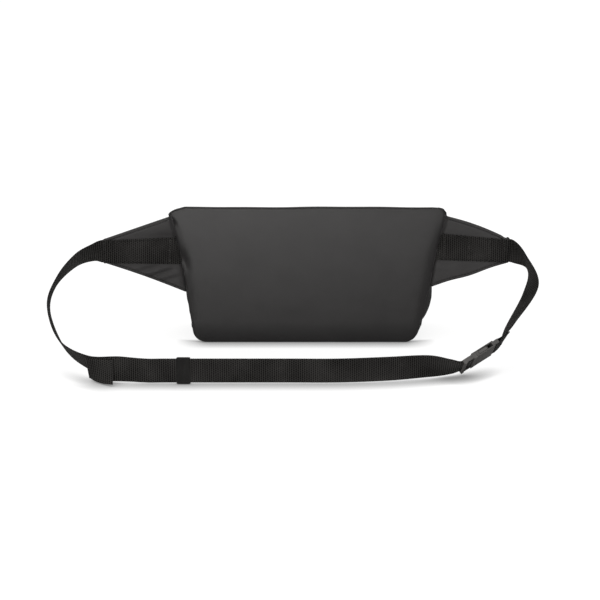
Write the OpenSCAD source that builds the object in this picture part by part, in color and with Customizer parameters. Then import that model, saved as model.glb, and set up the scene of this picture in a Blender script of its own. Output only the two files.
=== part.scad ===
// Waist-worn throw rope bag: a zipped pouch with a flaked rope inside, carried on a
// 25 mm webbing belt that closes with a side-release buckle.
// The pouch stands on its base. +Z is up, -Y is the wearer's side, and the origin is
// the middle of the base on the ground.

/* [Pouch] */
// Width across the top edge
top_w = 292; // [270:1:310]
// Width across the bottom edge
base_w = 246; // [230:1:260]
// Height of the top ridge
bag_h = 150; // [146:1:154]
// Depth of the flat base, from the back panel to where the front starts to curve
base_d = 59; // [55:1:62]
// Forward lean of the back panel over its whole height
back_lean = 4; // [2:1:6]
// Slope of the top, below the horizontal
top_slope = 50; // [46:1:54]
// Radius of the two bottom corners
base_corner_r = 14; // [10:1:16]
// Radius of the two top corners
top_corner_r = 8; // [6:1:10]
// Thickness of the coated shell fabric with its lining
panel_t = 1.2; // [1:0.1:1.4]
// Thickness of the back and base foam
foam_t = 5; // [4:0.5:5]

/* [Zip] */
// Distance down the slope from the ridge to the middle of the zip
zip_line = 15.5; // [15:0.5:16]
// Half length of the zip opening
zip_half = 124; // [118:1:126]
// Where the closed slider stands, from the middle
slider_x = 108; // [100:1:110]

/* [Belt] */
// Width of the belt webbing
strap_w = 25; // [25:1:25]
// Thickness of the belt webbing
strap_t = 1.4; // [1.2:0.1:1.5]
// Width of the wider webbing sewn along each wing
wing_strap_w = 30; // [28:1:32]
// Length of each wing, from the pouch to its tip
wing_len = 72; // [70:1:74]
// How far each wing turns towards the wearer
wing_turn = 14; // [12:1:16]
// Thickness of a wing, two fabric layers and a thin foam
wing_t = 3.4; // [3.2:0.1:3.8]
// Height of the webbing's middle line on the wings
wing_z = 107.5; // [107:0.5:108]
// How far the belt's front run stands from the middle of the base
run_y = -168; // [-170:1:-166]
// Height of the webbing's middle line in the front run
run_z = 13.8; // [13.8:0.1:14.4]
// Where the keeper stands along the front run
keeper_x = -127; // [-135:1:-110]
// Length of the keeper along the belt
keeper_l = 14; // [12:1:16]

/* [Buckle] */
// Place of the buckle's reference point, on its middle line 4 mm inside the female half
buckle_at = [173.4, -144.3, 19.9];
// Roll, pitch and yaw of the buckle, with its length along the first axis
buckle_turn = [137, -24, 25];
// Width of the buckle's body
buckle_w = 30.6; // [30:0.1:31]
// Thickness of the buckle's body
buckle_t = 6.4; // [6:0.1:6.8]
// Radius of the two webbing bars
bar_r = 1.5; // [1.4:0.1:1.6]

/* [Rope] */
// Rope diameter
rope_d = 7; // [6:0.5:7]
// Distance between the middles of neighbouring runs
rope_pitch = 7.6; // [7.6:0.1:7.8]

/* [Hidden] */

gap = 0.2;                      // clearance between sewn neighbours
ridge = [-31, bag_h];           // top edge in the (y, z) side view
back_y = ridge[0] - back_lean;  // foot of the back panel
front_y = back_y + base_d;      // where the base turns up into the front
slot_t = strap_t + 0.5;         // pocket for the belt in a wing's tip
lining_t = 0.6;
padding_top = 130;
wrap_r = bar_r + strap_t / 2 + 0.15;  // middle of the webbing round a bar
layer = strap_t + 0.3;          // distance between two webbing layers
female_bar_x = 22;
male_bar_x = -11.5;
mouth_x = -4;                   // where the female half begins
arm_pivot = [-6, 8.5];          // where an arm flexes, along and across the buckle
steps = 8;                      // sections between two knots of a strap

shell_colour = [0.20, 0.19, 0.19];
foam_colour = [0.35, 0.35, 0.36];
web_colour = [0.10, 0.10, 0.10];
plastic_colour = [0.25, 0.25, 0.24];
metal_colour = [0.55, 0.55, 0.56];
rope_colour = [0.85, 0.35, 0.10];

// ---- small geometry helpers ----
function unit(v) = v / norm(v);
function mix(a, b, t) = a + (b - a) * t;
function ease(t) = t * t * (3 - 2 * t);
function reverse(p) = [for (i = [len(p) - 1:-1:0]) p[i]];
function left_of(v) = [-v[1], v[0]];

// arc that rounds the corner b between its neighbours a and c
function round_corner(a, b, c, r, n = 6) =
    let (u = unit(a - b), v = unit(c - b), half = acos(u * v) / 2)
    let (o = b + unit(u + v) * r / sin(half), s = b + u * r / tan(half) - o)
    let (e = b + v * r / tan(half) - o, start = atan2(s[1], s[0]))
    let (sweep = atan2(s[0] * e[1] - s[1] * e[0], s * e))
    [for (i = [0:n]) o + r * [cos(start + sweep * i / n), sin(start + sweep * i / n)]];

// a closed counter-clockwise outline moved inwards by d
function inset(p, d) = [for (i = [0:len(p) - 1])
    let (a = p[(i + len(p) - 1) % len(p)], b = p[i], c = p[(i + 1) % len(p)])
    let (m = left_of(unit(b - a)), n = left_of(unit(c - b)))
    b + d * (m + n) / (1 + m * n)];

// the points of an open line moved to its left by d
function shifted(p, d) = [for (i = [0:len(p) - 1])
    let (a = p[max(i - 1, 0)], c = p[min(i + 1, len(p) - 1)])
    p[i] + d * left_of(unit(c - a))];

function bezier(a, b, c, d, n) = [for (i = [0:n]) let (t = i / n, u = 1 - t)
    u * u * u * a + 3 * u * u * t * b + 3 * u * t * t * c + t * t * t * d];

function side_x(z) = mix(base_w, top_w, z / bag_h) / 2;

// ---- outlines of the pouch ----
corners = [[-base_w / 2, 0], [base_w / 2, 0], [top_w / 2, bag_h], [-top_w / 2, bag_h]];
outline = [for (i = [0:3])
    each round_corner(corners[(i + 3) % 4], corners[i], corners[(i + 1) % 4],
        i < 2 ? base_corner_r : top_corner_r)];

down_slope = [cos(top_slope), -sin(top_slope)];
function on_top(s) = ridge + s * down_slope;
belly = bezier([front_y, 0], [front_y + 26, 2], on_top(28) + 70 * down_slope, on_top(28), 14);
front_line = concat(belly, [on_top(zip_line + 5.5)]);
profile = concat([[back_y, 0]], belly, [ridge]);

// extrude a (y, z) shape across the pouch, or an (x, z) shape from back to front
module across(p, w = 400) rotate([90, 0, 90]) linear_extrude(w, center = true) polygon(p);
module through(p, y0 = -60, y1 = 60)
    translate([0, y1, 0]) rotate([90, 0, 0]) linear_extrude(y1 - y0) polygon(p);
module pouch(d) {
    intersection() {
        across(inset(profile, d));
        through(inset(outline, d));
    }
}

// a flat layer parallel to the back panel, between depths d0 and d1
module back_layer(d0, d1) {
    n = unit([bag_h, -back_lean]);
    foot = [back_y, 0] - [back_lean, bag_h] * 0.1;
    head = ridge + [back_lean, bag_h] * 0.1;
    across([foot + n * d1, head + n * d1, head + n * d0, foot + n * d0]);
}

// frame of the top slope: x across, y down the slope, z outwards
module on_slope() translate([0, ridge[0], ridge[1]]) rotate([-top_slope, 0, 0]) children();
module slope_box(x0, x1, s0, s1, h0, h1)
    on_slope() translate([x0, s0, h0]) cube([x1 - x0, s1 - s0, h1 - h0]);

// ---- shell ----
module back_panel() color(shell_colour) intersection() {
    pouch(0);
    back_layer(0, panel_t);
}

// the padding ends below the zip's slider
module below_zip() translate([-200, -100, 0]) cube([400, 200, padding_top]);
module back_foam() color(foam_colour) intersection() {
    pouch(panel_t + 1.6);
    back_layer(panel_t + gap, panel_t + gap + foam_t);
    below_zip();
}

module back_lining() color(foam_colour) intersection() {
    pouch(panel_t + 1.6);
    back_layer(panel_t + 2 * gap + foam_t, panel_t + 2 * gap + foam_t + lining_t);
    below_zip();
}

module base_panel() color(shell_colour) {
    w = base_w - 2 * base_corner_r - 3;
    translate([-w / 2, back_y + panel_t + gap, 0]) cube([w, base_d - panel_t - 2 * gap, panel_t]);
}

module base_foam() color(foam_colour) {
    y0 = back_y + panel_t + foam_t + lining_t + 5 * gap;
    translate([-base_w / 2 + 22, y0, panel_t + gap]) cube([base_w - 44, front_y - y0, foam_t - 1]);
}

module front_panel() color(shell_colour) intersection() {
    across(concat(front_line, reverse(shifted(front_line, panel_t))));
    through(inset(outline, panel_t + gap));
}

module gusset() intersection() {
    difference() {
        through(outline);
        through(inset(outline, panel_t));
    }
    across(inset(profile, panel_t + gap));
    translate([base_w / 2 - base_corner_r - 1, -50, -1]) cube([50, 100, bag_h - 9]);
}
module eyelet_hole() at_eyelet() cylinder(r = 4.7, h = 10, center = true, $fn = 48);
module gusset_right() color(shell_colour) difference() {
    gusset();
    eyelet_hole();
}
module gusset_left() color(shell_colour) mirror([1, 0, 0]) difference() {
    gusset();
    eyelet_hole();
}

module top_strip() color(shell_colour) intersection() {
    slope_box(-160, 160, 3.8, zip_line - 5.5, -panel_t, 0);
    through(inset(outline, panel_t + gap));
}

module seam_binding() intersection() {
    difference() {
        through(inset(outline, panel_t + 0.3));
        through(inset(outline, panel_t + 1.3));
    }
    back_layer(panel_t + foam_t + 1.6, panel_t + foam_t + 8);
    translate([base_w / 2 - 4, -50, 16]) cube([50, 100, bag_h - 42]);
}
module seam_binding_right() color(foam_colour) seam_binding();
module seam_binding_left() color(foam_colour) mirror([1, 0, 0]) seam_binding();

// ---- drain eyelets, low in each gusset ----
eyelet_z = 22;
module at_eyelet() {
    lean = atan2(top_w - base_w, 2 * bag_h);
    translate([side_x(eyelet_z), 6, eyelet_z]) rotate([0, 90 + lean, 0]) children();
}
module each_side() {
    children();
    mirror([1, 0, 0]) children();
}
// a barrel with a flange outside, closed over a washer inside
module drain_eyelets() color(metal_colour) each_side() at_eyelet() difference() {
    union() {
        translate([0, 0, 0.1]) cylinder(r = 7, h = 0.7, $fn = 48);
        translate([0, 0, -2.6]) cylinder(r = 4.4, h = 3, $fn = 48);
    }
    cylinder(r = 3.9, h = 10, center = true, $fn = 48);
}
module drain_washers() color(metal_colour) each_side() at_eyelet() difference() {
    translate([0, 0, -2.1]) cylinder(r = 7, h = 0.7, $fn = 48);
    cylinder(r = 4.5, h = 10, center = true, $fn = 48);
}

// ---- zip ----
module zip_tape_rear() color(web_colour)
    slope_box(-zip_half - 8, zip_half + 8, 5, zip_line - 0.6, -2.2, -1.4);
module zip_tape_front() color(web_colour)
    slope_box(-zip_half - 8, zip_half + 8, zip_line + 0.6, zip_line + 10.5, -2.2, -1.4);
module zip_chain_rear() color(web_colour)
    slope_box(-zip_half + 1, zip_half - 1, zip_line - 3.1, zip_line - 0.6, -1.35, 0.45);
module zip_chain_front() color(web_colour)
    slope_box(-zip_half + 1, zip_half - 1, zip_line + 0.6, zip_line + 3.1, -1.35, 0.45);
module zip_end_tabs() color(shell_colour) each_side()
    slope_box(zip_half + 0.5, zip_half + 12, zip_line - 5.3, zip_line + 5.3, -panel_t, 0);
module zip_stops() color(metal_colour) each_side() {
    slope_box(zip_half - 0.8, zip_half + 0.3, zip_line - 3.1, zip_line - 0.6, -1.35, 0.8);
    slope_box(zip_half - 0.8, zip_half + 0.3, zip_line + 0.6, zip_line + 3.1, -1.35, 0.8);
}

module at_slider() on_slope() translate([slider_x, zip_line, 0]) children();
pull_h = 3.1;
// two plates round the chain, joined by a thin post in the slit, with a bridge on top
module zip_slider() color(metal_colour) at_slider() {
    translate([-6, -4.3, 0.65]) cube([12, 8.6, 1.1]);
    translate([-6, -4.3, -3.6]) cube([12, 8.6, 1.1]);
    translate([2, -0.4, -2.8]) cube([3, 0.8, 4]);
    for (side = [-4.3, 3.5]) translate([-6, side, -1]) cube([12, 0.8, 2]);
    for (end = [-4.8, 3.6]) translate([end, -1.1, 1.6]) cube([1.2, 2.2, 3.6]);
    translate([-4.8, -1.1, 4.3]) cube([9.6, 2.2, 1]);
}
module zip_pull() color(metal_colour) at_slider() {
    translate([0, 0, pull_h]) rotate([90, 0, 0]) cylinder(r = 0.8, h = 6.4, center = true, $fn = 32);
    for (side = [-3.4, 2.2]) translate([-9.2, side, pull_h - 0.7]) cube([10, 1.2, 1.4]);
    difference() {
        translate([-29, -3.4, pull_h - 0.7]) cube([21, 6.8, 1.4]);
        translate([-25, 0, pull_h]) cylinder(r = 1.8, h = 4, center = true, $fn = 32);
    }
}

// ---- wings ----
wing_root = [side_x(bag_h) + 0.1, back_y - 0.5];
module at_wing() translate([wing_root[0], wing_root[1], 0]) rotate([0, 0, -wing_turn]) children();
// a tapered side with an open pocket in its tip for the belt
module wing() at_wing() difference() {
    rotate([90, 0, 0]) linear_extrude(wing_t, center = true)
        polygon([[-13, 59], [wing_len, wing_z - 14], [wing_len, wing_z + 13.6], [0, 142]]);
    translate([wing_len - 16, -slot_t / 2, wing_z - strap_w / 2 - 0.3])
        cube([20, slot_t, strap_w + 0.6]);
}
module wing_right() color(shell_colour) wing();
module wing_left() color(shell_colour) mirror([1, 0, 0]) wing();
module wing_webbing() at_wing()
    translate([0.5, -wing_t / 2 - 0.1 - strap_t, wing_z - wing_strap_w / 2])
        cube([wing_len - 1.5, strap_t, wing_strap_w]);
module wing_webbing_right() color(web_colour) wing_webbing();
module wing_webbing_left() color(web_colour) mirror([1, 0, 0]) wing_webbing();

// ---- webbing straps ----
// A knot is [x, y, z, lean]: a point on the webbing's middle line and the direction from
// its lower edge to its upper edge. A section is [middle, lean, face], one cut of a strap.
function knot(p, lean) = [p[0], p[1], p[2], lean[0], lean[1], lean[2]];
function point(k) = [k[0], k[1], k[2]];
function lean(k) = unit([k[3], k[4], k[5]]);
function catmull(a, b, c, d, t) = (2 * b + (c - a) * t + (2 * a - 5 * b + 4 * c - d) * t * t
    + (3 * b - a - 3 * c + d) * t * t * t) / 2;
// smooth line through every knot after the first, which is joined on straight
function strap_line(k) = let (n = len(k), p = concat(k, [2 * k[n - 1] - k[n - 2]]))
    concat([k[0]], [for (i = [1:n - 2]) for (j = [0:steps - 1])
        catmull(p[i - 1], p[i], p[i + 1], p[i + 2], j / steps)], [k[n - 1]]);
function sections(line) = [for (i = [0:len(line) - 1])
    let (a = line[max(i - 1, 0)], c = line[min(i + 1, len(line) - 1)])
    let (b = lean(line[i]))
    [point(line[i]), b, unit(cross(point(c) - point(a), b))]];

// the end of a strap round a bar; side says which side of the bar it arrives on
function wrap(s, side, n = 8) = let (b = s[1], face = s[2], t = cross(b, face))
    let (bar = s[0] - side * wrap_r * face)
    [for (i = [1:n]) let (a = 180 * i / n)
        [bar + wrap_r * (side * cos(a) * face + sin(a) * t), b, cos(a) * face + side * sin(a) * t]];
// the layer that comes back along the strap from its end, "lift" away at each section
function back_along(s, side, count, lift) = [for (i = [1:count])
    let (q = s[len(s) - 1 - i]) [q[0] - side * lift[i] * q[2], q[1], -q[2]]];

// a closed band of webbing through its sections
module band(s, w = strap_w, t = strap_t) {
    n = len(s);
    points = [for (q = s) for (c = [[1, 1], [-1, 1], [-1, -1], [1, -1]])
        q[0] + q[1] * c[0] * w / 2 + q[2] * c[1] * t / 2];
    sides = [for (i = [0:n - 2]) for (k = [0:3]) let (m = (k + 1) % 4)
        each [[4 * i + k, 4 * i + 4 + k, 4 * i + 4 + m], [4 * i + k, 4 * i + 4 + m, 4 * i + m]]];
    ends = [[0, 1, 2, 3], [4 * n - 1, 4 * n - 2, 4 * n - 3, 4 * n - 4]];
    polyhedron(points, concat(sides, ends));
}

// the buckle's own frame: length, width and outer face
function turned(v, a) = let (
    x = [v[0], v[1] * cos(a[0]) - v[2] * sin(a[0]), v[1] * sin(a[0]) + v[2] * cos(a[0])],
    y = [x[0] * cos(a[1]) + x[2] * sin(a[1]), x[1], x[2] * cos(a[1]) - x[0] * sin(a[1])])
    [y[0] * cos(a[2]) - y[1] * sin(a[2]), y[0] * sin(a[2]) + y[1] * cos(a[2]), y[2]];
function at_buckle(v) = buckle_at + turned(v, buckle_turn);
buckle_lean = turned([0, 1, 0], buckle_turn);

function wing_point(side, u) = [side * (wing_root[0] + u * cos(wing_turn)),
    wing_root[1] - u * sin(wing_turn), wing_z];
up = [0, 0, 1];
left_knots = concat([
    knot(wing_point(-1, wing_len - 14), up),
    knot(wing_point(-1, wing_len + 0.5), up),
    knot([-228, -55, 106.5], [0, -0.5, 0.9]),
    knot([-246, -64, 100], [0.1, -0.7, 0.8]),
    knot([-264, -84, 83], [0.2, -0.7, 0.7]),
    knot([-270, -107, 60], [0, -0.7, 0.6]),
    knot([-253, -138, 31], [-0.2, -0.7, 0.7]),
    knot([-223, -158, 18], [-0.1, -0.6, 0.9]),
    knot([-190, run_y + 1.5, run_z + 1.7], up)],
    [for (x = [-165, -145, -90, -20, 30]) knot([x, run_y, run_z], up)], [
    knot([80, -164, 14.3], up),
    knot([120.8, -157, 14.8], [0, -0.2, 0.95]),
    knot([143.8, -153, 13], [0.05, -0.6, 0.8]),
    knot(at_buckle([-21, 0, -2.5]), buckle_lean),
    knot(at_buckle([male_bar_x, 0, -wrap_r]), buckle_lean)]);
right_knots = [
    knot(wing_point(1, wing_len - 14), up),
    knot(wing_point(1, wing_len + 0.5), up),
    knot([230, -70, 100], [-0.2, -0.6, 0.9]),
    knot([232, -96, 78], [0.5, -0.6, 0.5]),
    knot([209.4, -121, 48], [0.3, -0.9, 0.5]),
    knot(at_buckle([32, 0, -1.8]), buckle_lean),
    knot(at_buckle([female_bar_x, 0, -wrap_r]), buckle_lean)];

// distance of the tail from the main layer: wide at the bar, closed up under the end bar
tail_count = 11 * steps;
tail_lift = [for (i = [0:tail_count]) mix(2 * wrap_r, layer, ease(min(1, i / 5)))];
hem_count = 6;
module strap_left() color(web_colour) {
    main = sections(strap_line(left_knots));
    tail = back_along(main, -1, tail_count, tail_lift);
    band(concat(main, wrap(main[len(main) - 1], -1), tail));
    // the tail's end is folded over once and stitched
    hem = [for (i = [0:hem_count]) let (q = tail[tail_count - 1 - i])
        [q[0] - q[2] * (strap_t - 0.1), q[1], q[2]]];
    band(reverse(hem));
}

ear_count = steps + 4;
ear_lift = [for (i = [0:ear_count]) mix(2 * wrap_r, strap_t + 0.1, ease(min(1, i / steps)))];
module strap_right() color(web_colour) {
    main = sections(strap_line(right_knots));
    band(concat(main, wrap(main[len(main) - 1], 1), back_along(main, 1, ear_count, ear_lift)));
}

// an elastic sleeve that slides along both layers of the front run
module strap_keeper() color(shell_colour) {
    inner = [layer + strap_t + 0.5, strap_w + 0.5];
    t = 0.95;
    translate([keeper_x, run_y - layer / 2, run_z]) rotate([90, 0, 90])
        linear_extrude(keeper_l, center = true) difference() {
            square(inner + [2 * t, 2 * t], center = true);
            square(inner, center = true);
        }
}

// ---- side-release buckle, in its own frame ----
module in_buckle() translate(buckle_at) rotate(buckle_turn) children();
module plate(p, t) linear_extrude(t, center = true) polygon(p);
module webbing_bar(x) translate([x, 0, 0]) rotate([90, 0, 0])
    cylinder(r = bar_r, h = strap_w + 3, center = true, $fn = 32);
rail_y = strap_w / 2 + 0.4;
half_w = buckle_w / 2;

module buckle_female() color(plastic_colour) in_buckle() {
    body = 18.2 - mouth_x;
    difference() {
        translate([mouth_x + 0.1, -half_w, -buckle_t / 2]) cube([body - 0.1, buckle_w, buckle_t]);
        // cavity for the arms, and the two side windows their heads stand in
        translate([mouth_x - 1, -13.6, -1.9]) cube([body - 1.2, 27.2, 3.8]);
        translate([-0.6, -20, -1.9]) cube([16.6, 40, 3.8]);
    }
    for (side = [-1, 1]) translate([21, side * (rail_y + half_w) / 2, 0])
        cube([6, half_w - rail_y, 4.4], center = true);
    webbing_bar(female_bar_x);
}

module buckle_male() color(plastic_colour) in_buckle() {
    difference() {
        union() {
            translate([-8.2, -half_w, -buckle_t / 2]) cube([4.1, buckle_w, buckle_t]);
            plate([[-5, -2.4], [12, -2.4], [15, -1], [15, 1], [12, 2.4], [-5, 2.4]], 3);
        }
        for (side = [-1, 1]) translate([arm_pivot[0], side * arm_pivot[1], 0]) {
            cylinder(r = 1.56, h = 3.5, center = true, $fn = 48);
            translate([0.8, -1.5, -1.75]) cube([2, 3, 3.5]);
        }
    }
    for (side = [-1, 1]) translate([-14, side * (rail_y + half_w) / 2, 0])
        cube([12, half_w - rail_y, 4.4], center = true);
    translate([-20, -half_w, 0.8]) cube([3, buckle_w, 2.1]);
    webbing_bar(male_bar_x);
}

// a spring arm: a round root, a beam and a long barbed head that stands in the window
module buckle_arm() {
    translate([arm_pivot[0], arm_pivot[1], 0]) cylinder(r = 1.5, h = 3, center = true, $fn = 48);
    plate([[-6, 7.7], [-4, 7.8], [9, 9.4], [12, 10.4], [11, 13.4], [9, 15.1], [-0.4, 15.1],
        [-0.4, 13.5], [1.2, 12], [-0.4, 10.2], [-4, 9.3], [-6, 9.3]], 3);
}
module buckle_arm_upper() color(plastic_colour) in_buckle() buckle_arm();
module buckle_arm_lower() color(plastic_colour) in_buckle() mirror([0, 1, 0]) buckle_arm();

// ---- rope, flaked from side to side in two blocks of layers ----
rope_r = rope_d / 2;
run_half = 98;
low_cols = 7;
high_cols = 5;
low_runs = 4 * low_cols;
rope_runs = low_runs + 6 * high_cols;
first_run = [-19.4, panel_t + foam_t + 4.3];
function cols(k) = k < low_runs ? low_cols : high_cols;
function in_block(k) = k < low_runs ? k : k - low_runs;
function row(k) = (k < low_runs ? 0 : low_runs / low_cols) + floor(in_block(k) / cols(k));
function col(k) = let (c = in_block(k) % cols(k)) row(k) % 2 == 0 ? c : cols(k) - 1 - c;
function run_dir(k) = k % 2 == 0 ? 1 : -1;
function run_at(k) = [0, first_run[0] + col(k) * rope_pitch, first_run[1] + row(k) * rope_pitch];
// how many turns before run k went sideways, which flips the ring's start each time
function side_turns(k) = k < low_runs ? k - floor(k / low_cols)
    : low_runs - low_runs / low_cols + (k - low_runs) - floor((k - low_runs) / high_cols);
function ring(at, t, u, n = 8) = let (v = cross(t, u))
    [for (i = [0:n - 1]) at + rope_r * (cos(360 * i / n) * u + sin(360 * i / n) * v)];
// one run: its start ring, then the half turn at its end towards the next run
function run_rings(k) = let (
    t = [run_dir(k), 0, 0],
    u = [0, side_turns(k) % 2 == 0 ? 1 : -1, 0],
    start = run_at(k) - run_half * t,
    end = run_at(k) + run_half * t)
    k == rope_runs - 1 ? [ring(start, t, u), ring(end, t, u)]
    : let (step = run_at(k + 1) - run_at(k), d = unit(step), r = norm(step) / 2)
        concat([ring(start, t, u)], [for (a = [0:36:144])
            let (at = end + r * d + r * (sin(a) * t - cos(a) * d))
            ring(at, cos(a) * t + sin(a) * d, u + (u * d) * ((cos(a) - 1) * d - sin(a) * t))]);

module rope() color(rope_colour) {
    rings = [for (k = [0:rope_runs - 1]) each run_rings(k)];
    n = 8;
    last = len(rings) - 1;
    sides = [for (i = [0:last - 1]) for (j = [0:n - 1]) let (m = (j + 1) % n)
        each [[n * i + j, n * i + m, n * i + n + m], [n * i + j, n * i + n + m, n * i + n + j]]];
    ends = [[for (j = [n - 1:-1:0]) j], [for (j = [0:n - 1]) n * last + j]];
    polyhedron([for (q = rings) each q], concat(sides, ends));
    // the inner end passes the anchor loop and is stopped by a knot
    translate([-run_half, first_run[0], first_run[1]]) rotate([0, -90, 0])
        translate([0, 0, -1]) cylinder(r = 3, h = 14, $fn = 32);
    translate([-run_half - 14, first_run[0], first_run[1] + 3]) sphere(r = 6.2, $fn = 32);
}

// webbing loop sewn at the foot of the left gusset; the rope's knot can't pass it
module rope_anchor_loop() color(web_colour)
    translate([-run_half - 5, first_run[0], first_run[1]]) rotate([0, 90, 0])
        linear_extrude(1.6, center = true) difference() {
            square([11, 11], center = true);
            square([8, 8], center = true);
        }

// the eye on the rope's free end, just under the zip, with its joint in a sleeve
eye_at = [60, -19, 108];
module rope_end_eye() color(rope_colour) translate(eye_at) rotate([90, 0, 0])
    rotate_extrude($fn = 64) translate([11, 0]) circle(r = 3, $fn = 24);
module rope_end_sleeve() color(plastic_colour) translate(eye_at + [0, 0, -11])
    rotate([0, 90, 0]) difference() {
        cylinder(r = 4.6, h = 7, center = true, $fn = 48);
        cylinder(r = 3.8, h = 8, center = true, $fn = 48);
    }

back_panel();
back_foam();
back_lining();
base_panel();
base_foam();
front_panel();
gusset_left();
gusset_right();
top_strip();
zip_end_tabs();
zip_tape_rear();
zip_tape_front();
zip_chain_rear();
zip_chain_front();
zip_stops();
zip_slider();
zip_pull();
seam_binding_left();
seam_binding_right();
wing_left();
wing_right();
wing_webbing_left();
wing_webbing_right();
strap_left();
strap_right();
strap_keeper();
buckle_male();
buckle_female();
buckle_arm_upper();
buckle_arm_lower();
rope();
rope_anchor_loop();
rope_end_eye();
rope_end_sleeve();
drain_eyelets();
drain_washers();
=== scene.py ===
import math

import bmesh
import bpy
import numpy as np
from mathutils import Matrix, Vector, noise


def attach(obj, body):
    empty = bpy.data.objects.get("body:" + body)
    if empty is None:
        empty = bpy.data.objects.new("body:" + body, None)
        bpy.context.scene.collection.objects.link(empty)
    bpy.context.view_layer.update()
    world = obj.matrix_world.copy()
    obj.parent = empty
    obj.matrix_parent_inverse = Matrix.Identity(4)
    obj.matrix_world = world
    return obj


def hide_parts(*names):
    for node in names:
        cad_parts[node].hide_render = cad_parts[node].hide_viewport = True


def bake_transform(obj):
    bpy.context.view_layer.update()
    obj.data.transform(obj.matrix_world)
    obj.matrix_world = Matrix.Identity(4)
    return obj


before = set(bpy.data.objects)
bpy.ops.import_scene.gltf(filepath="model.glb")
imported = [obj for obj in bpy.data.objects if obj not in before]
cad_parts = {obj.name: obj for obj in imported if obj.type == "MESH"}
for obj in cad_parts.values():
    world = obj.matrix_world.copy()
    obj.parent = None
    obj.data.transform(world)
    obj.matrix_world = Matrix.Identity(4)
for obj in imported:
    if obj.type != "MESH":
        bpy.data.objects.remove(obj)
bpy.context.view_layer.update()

# Lengths are in millimetres up to the stage, and MM turns them into Blender's metres.
MM = 0.001

# ---- the pouch, the belt and the buckle, with the CAD's sizes ----
TOP_W, BASE_W, BAG_H = 292.0, 246.0, 150.0
BACK_Y, RIDGE_Y, FRONT_Y = -35.0, -31.0, 24.0      # the back's foot, the ridge, and the front's foot
BASE_R, TOP_R = 14.0, 8.0              # the back panel's corners
PANEL_T, FOAM_T = 1.2, 5.0
SLOPE = math.radians(50)
ZIP_S, ZIP_HALF = 15.5, 124.0          # how far down the top slope the zip is, and half its length
ZIP_UPPER, ZIP_LOWER = ZIP_S - 5.5, ZIP_S + 5.5      # the edges of its opening
STRAP_W, STRAP_T, WING_STRAP_W = 25.0, 1.4, 30.0
WING_LEN, WING_TURN, WING_T, WING_Z = 72.0, math.radians(14), 3.4, 107.5
WING_ROOT = (146.1, -35.5)             # x and y
RUN_Y, RUN_Z = -168.0, 13.8            # the belt's straight run
KEEPER_X, KEEPER_L = -127.0, 14.0
BUCKLE_AT = np.array([173.4, -144.3, 19.9])
BUCKLE_TURN = [math.radians(a) for a in (137, -24, 25)]
BAR_R, FEMALE_BAR_X, MALE_BAR_X = 1.5, 22.0, -11.5
WRAP_R = BAR_R + STRAP_T / 2 + 0.15    # the strap's way round a bar
LAYER = STRAP_T + 0.3                  # from one layer of the belt to the next
EYELET_AT, EYELET_R = (6.0, 22.0), 4.5               # y and z
ROPE_R, ROPE_PITCH, RUN_HALF = 3.5, 7.6, 98.0
FIRST_RUN = (-19.4, PANEL_T + FOAM_T + 4.3)          # y and z
LOW_COLS, HIGH_COLS = 7, 5             # runs of rope side by side in the lower and the upper rows
LOW_RUNS, ROPE_RUNS = 28, 58           # runs in the lower rows, and in all
EYE_AT, EYE_R = np.array([60.0, -19.0, 108.0]), 11.0
UP = (0, 0, 1)
SIDES = ((-1, "left"), (1, "right"))
SLOPE_COS, SLOPE_SIN = math.cos(SLOPE), math.sin(SLOPE)
WING_COS, WING_SIN = math.cos(WING_TURN), math.sin(WING_TURN)

RIB, ELASTIC_RIB = 2.2, 1.2          # distance between the ribs of the webbing and of the keeper
RIB_STEPS = 5        # cuts along one rib


# ---- small geometry helpers ----
def mix(a, b, t):
    return a + (b - a) * t


def ease(t):
    t = np.clip(t, 0, 1)
    return t * t * (3 - 2 * t)


def bell(distance, width):
    return np.exp(-(distance / width)**2)


def arch(share):
    """0 at both ends of the way from 0 to 1, and 1 in its middle."""
    return np.sin(np.clip(share, 0, 1) * math.pi)


def turns(count):
    """The angles of "count" points round a circle."""
    return np.arange(count) * 2 * math.pi / count


def stacked(*parts):
    """Points from their coordinates, each a number or an array."""
    return np.stack(np.broadcast_arrays(*parts), -1).astype(float)


def along_line(where, at, rows):
    """The rows, which lie at the distances "at", read off at the distances "where"."""
    return np.stack([np.interp(where, at, column) for column in rows.T], -1)


def squared(wave_value, power):
    """Makes a circle's sine or cosine into that of a square with rounded corners."""
    return np.sign(wave_value) * abs(wave_value)**power


def unit(v):
    v = np.asarray(v, float)
    return v / np.maximum(np.linalg.norm(v, axis=-1, keepdims=True), 1e-9)


def turned(v):
    """A vector of the buckle's own frame in the part's frame."""
    (cx, cy, cz), (sx, sy, sz) = [[f(a) for a in BUCKLE_TURN] for f in (math.cos, math.sin)]
    x = np.array([v[0], v[1] * cx - v[2] * sx, v[1] * sx + v[2] * cx])
    y = np.array([x[0] * cy + x[2] * sy, x[1], x[2] * cy - x[0] * sy])
    return np.array([y[0] * cz - y[1] * sz, y[0] * sz + y[1] * cz, y[2]])


def at_buckle(x, y, z):
    return BUCKLE_AT + turned((x, y, z))


def wing_point(side, u, z=WING_Z, out=0.0):
    """A point of a wing: u along it, z up, out towards the wearer. side is 1 for the right."""
    return stacked(side * (WING_ROOT[0] + u * WING_COS - out * WING_SIN),
                   WING_ROOT[1] - u * WING_SIN - out * WING_COS, z)


def wing_face(side):
    """The direction across a wing, towards the wearer."""
    return np.array([-side * WING_SIN, -WING_COS, 0.0])


def on_slope(x, s, h):
    """A point of the top slope: x across, s down the slope, h outwards."""
    return stacked(x, RIDGE_Y + s * SLOPE_COS + h * SLOPE_SIN, BAG_H - s * SLOPE_SIN + h * SLOPE_COS)


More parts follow.
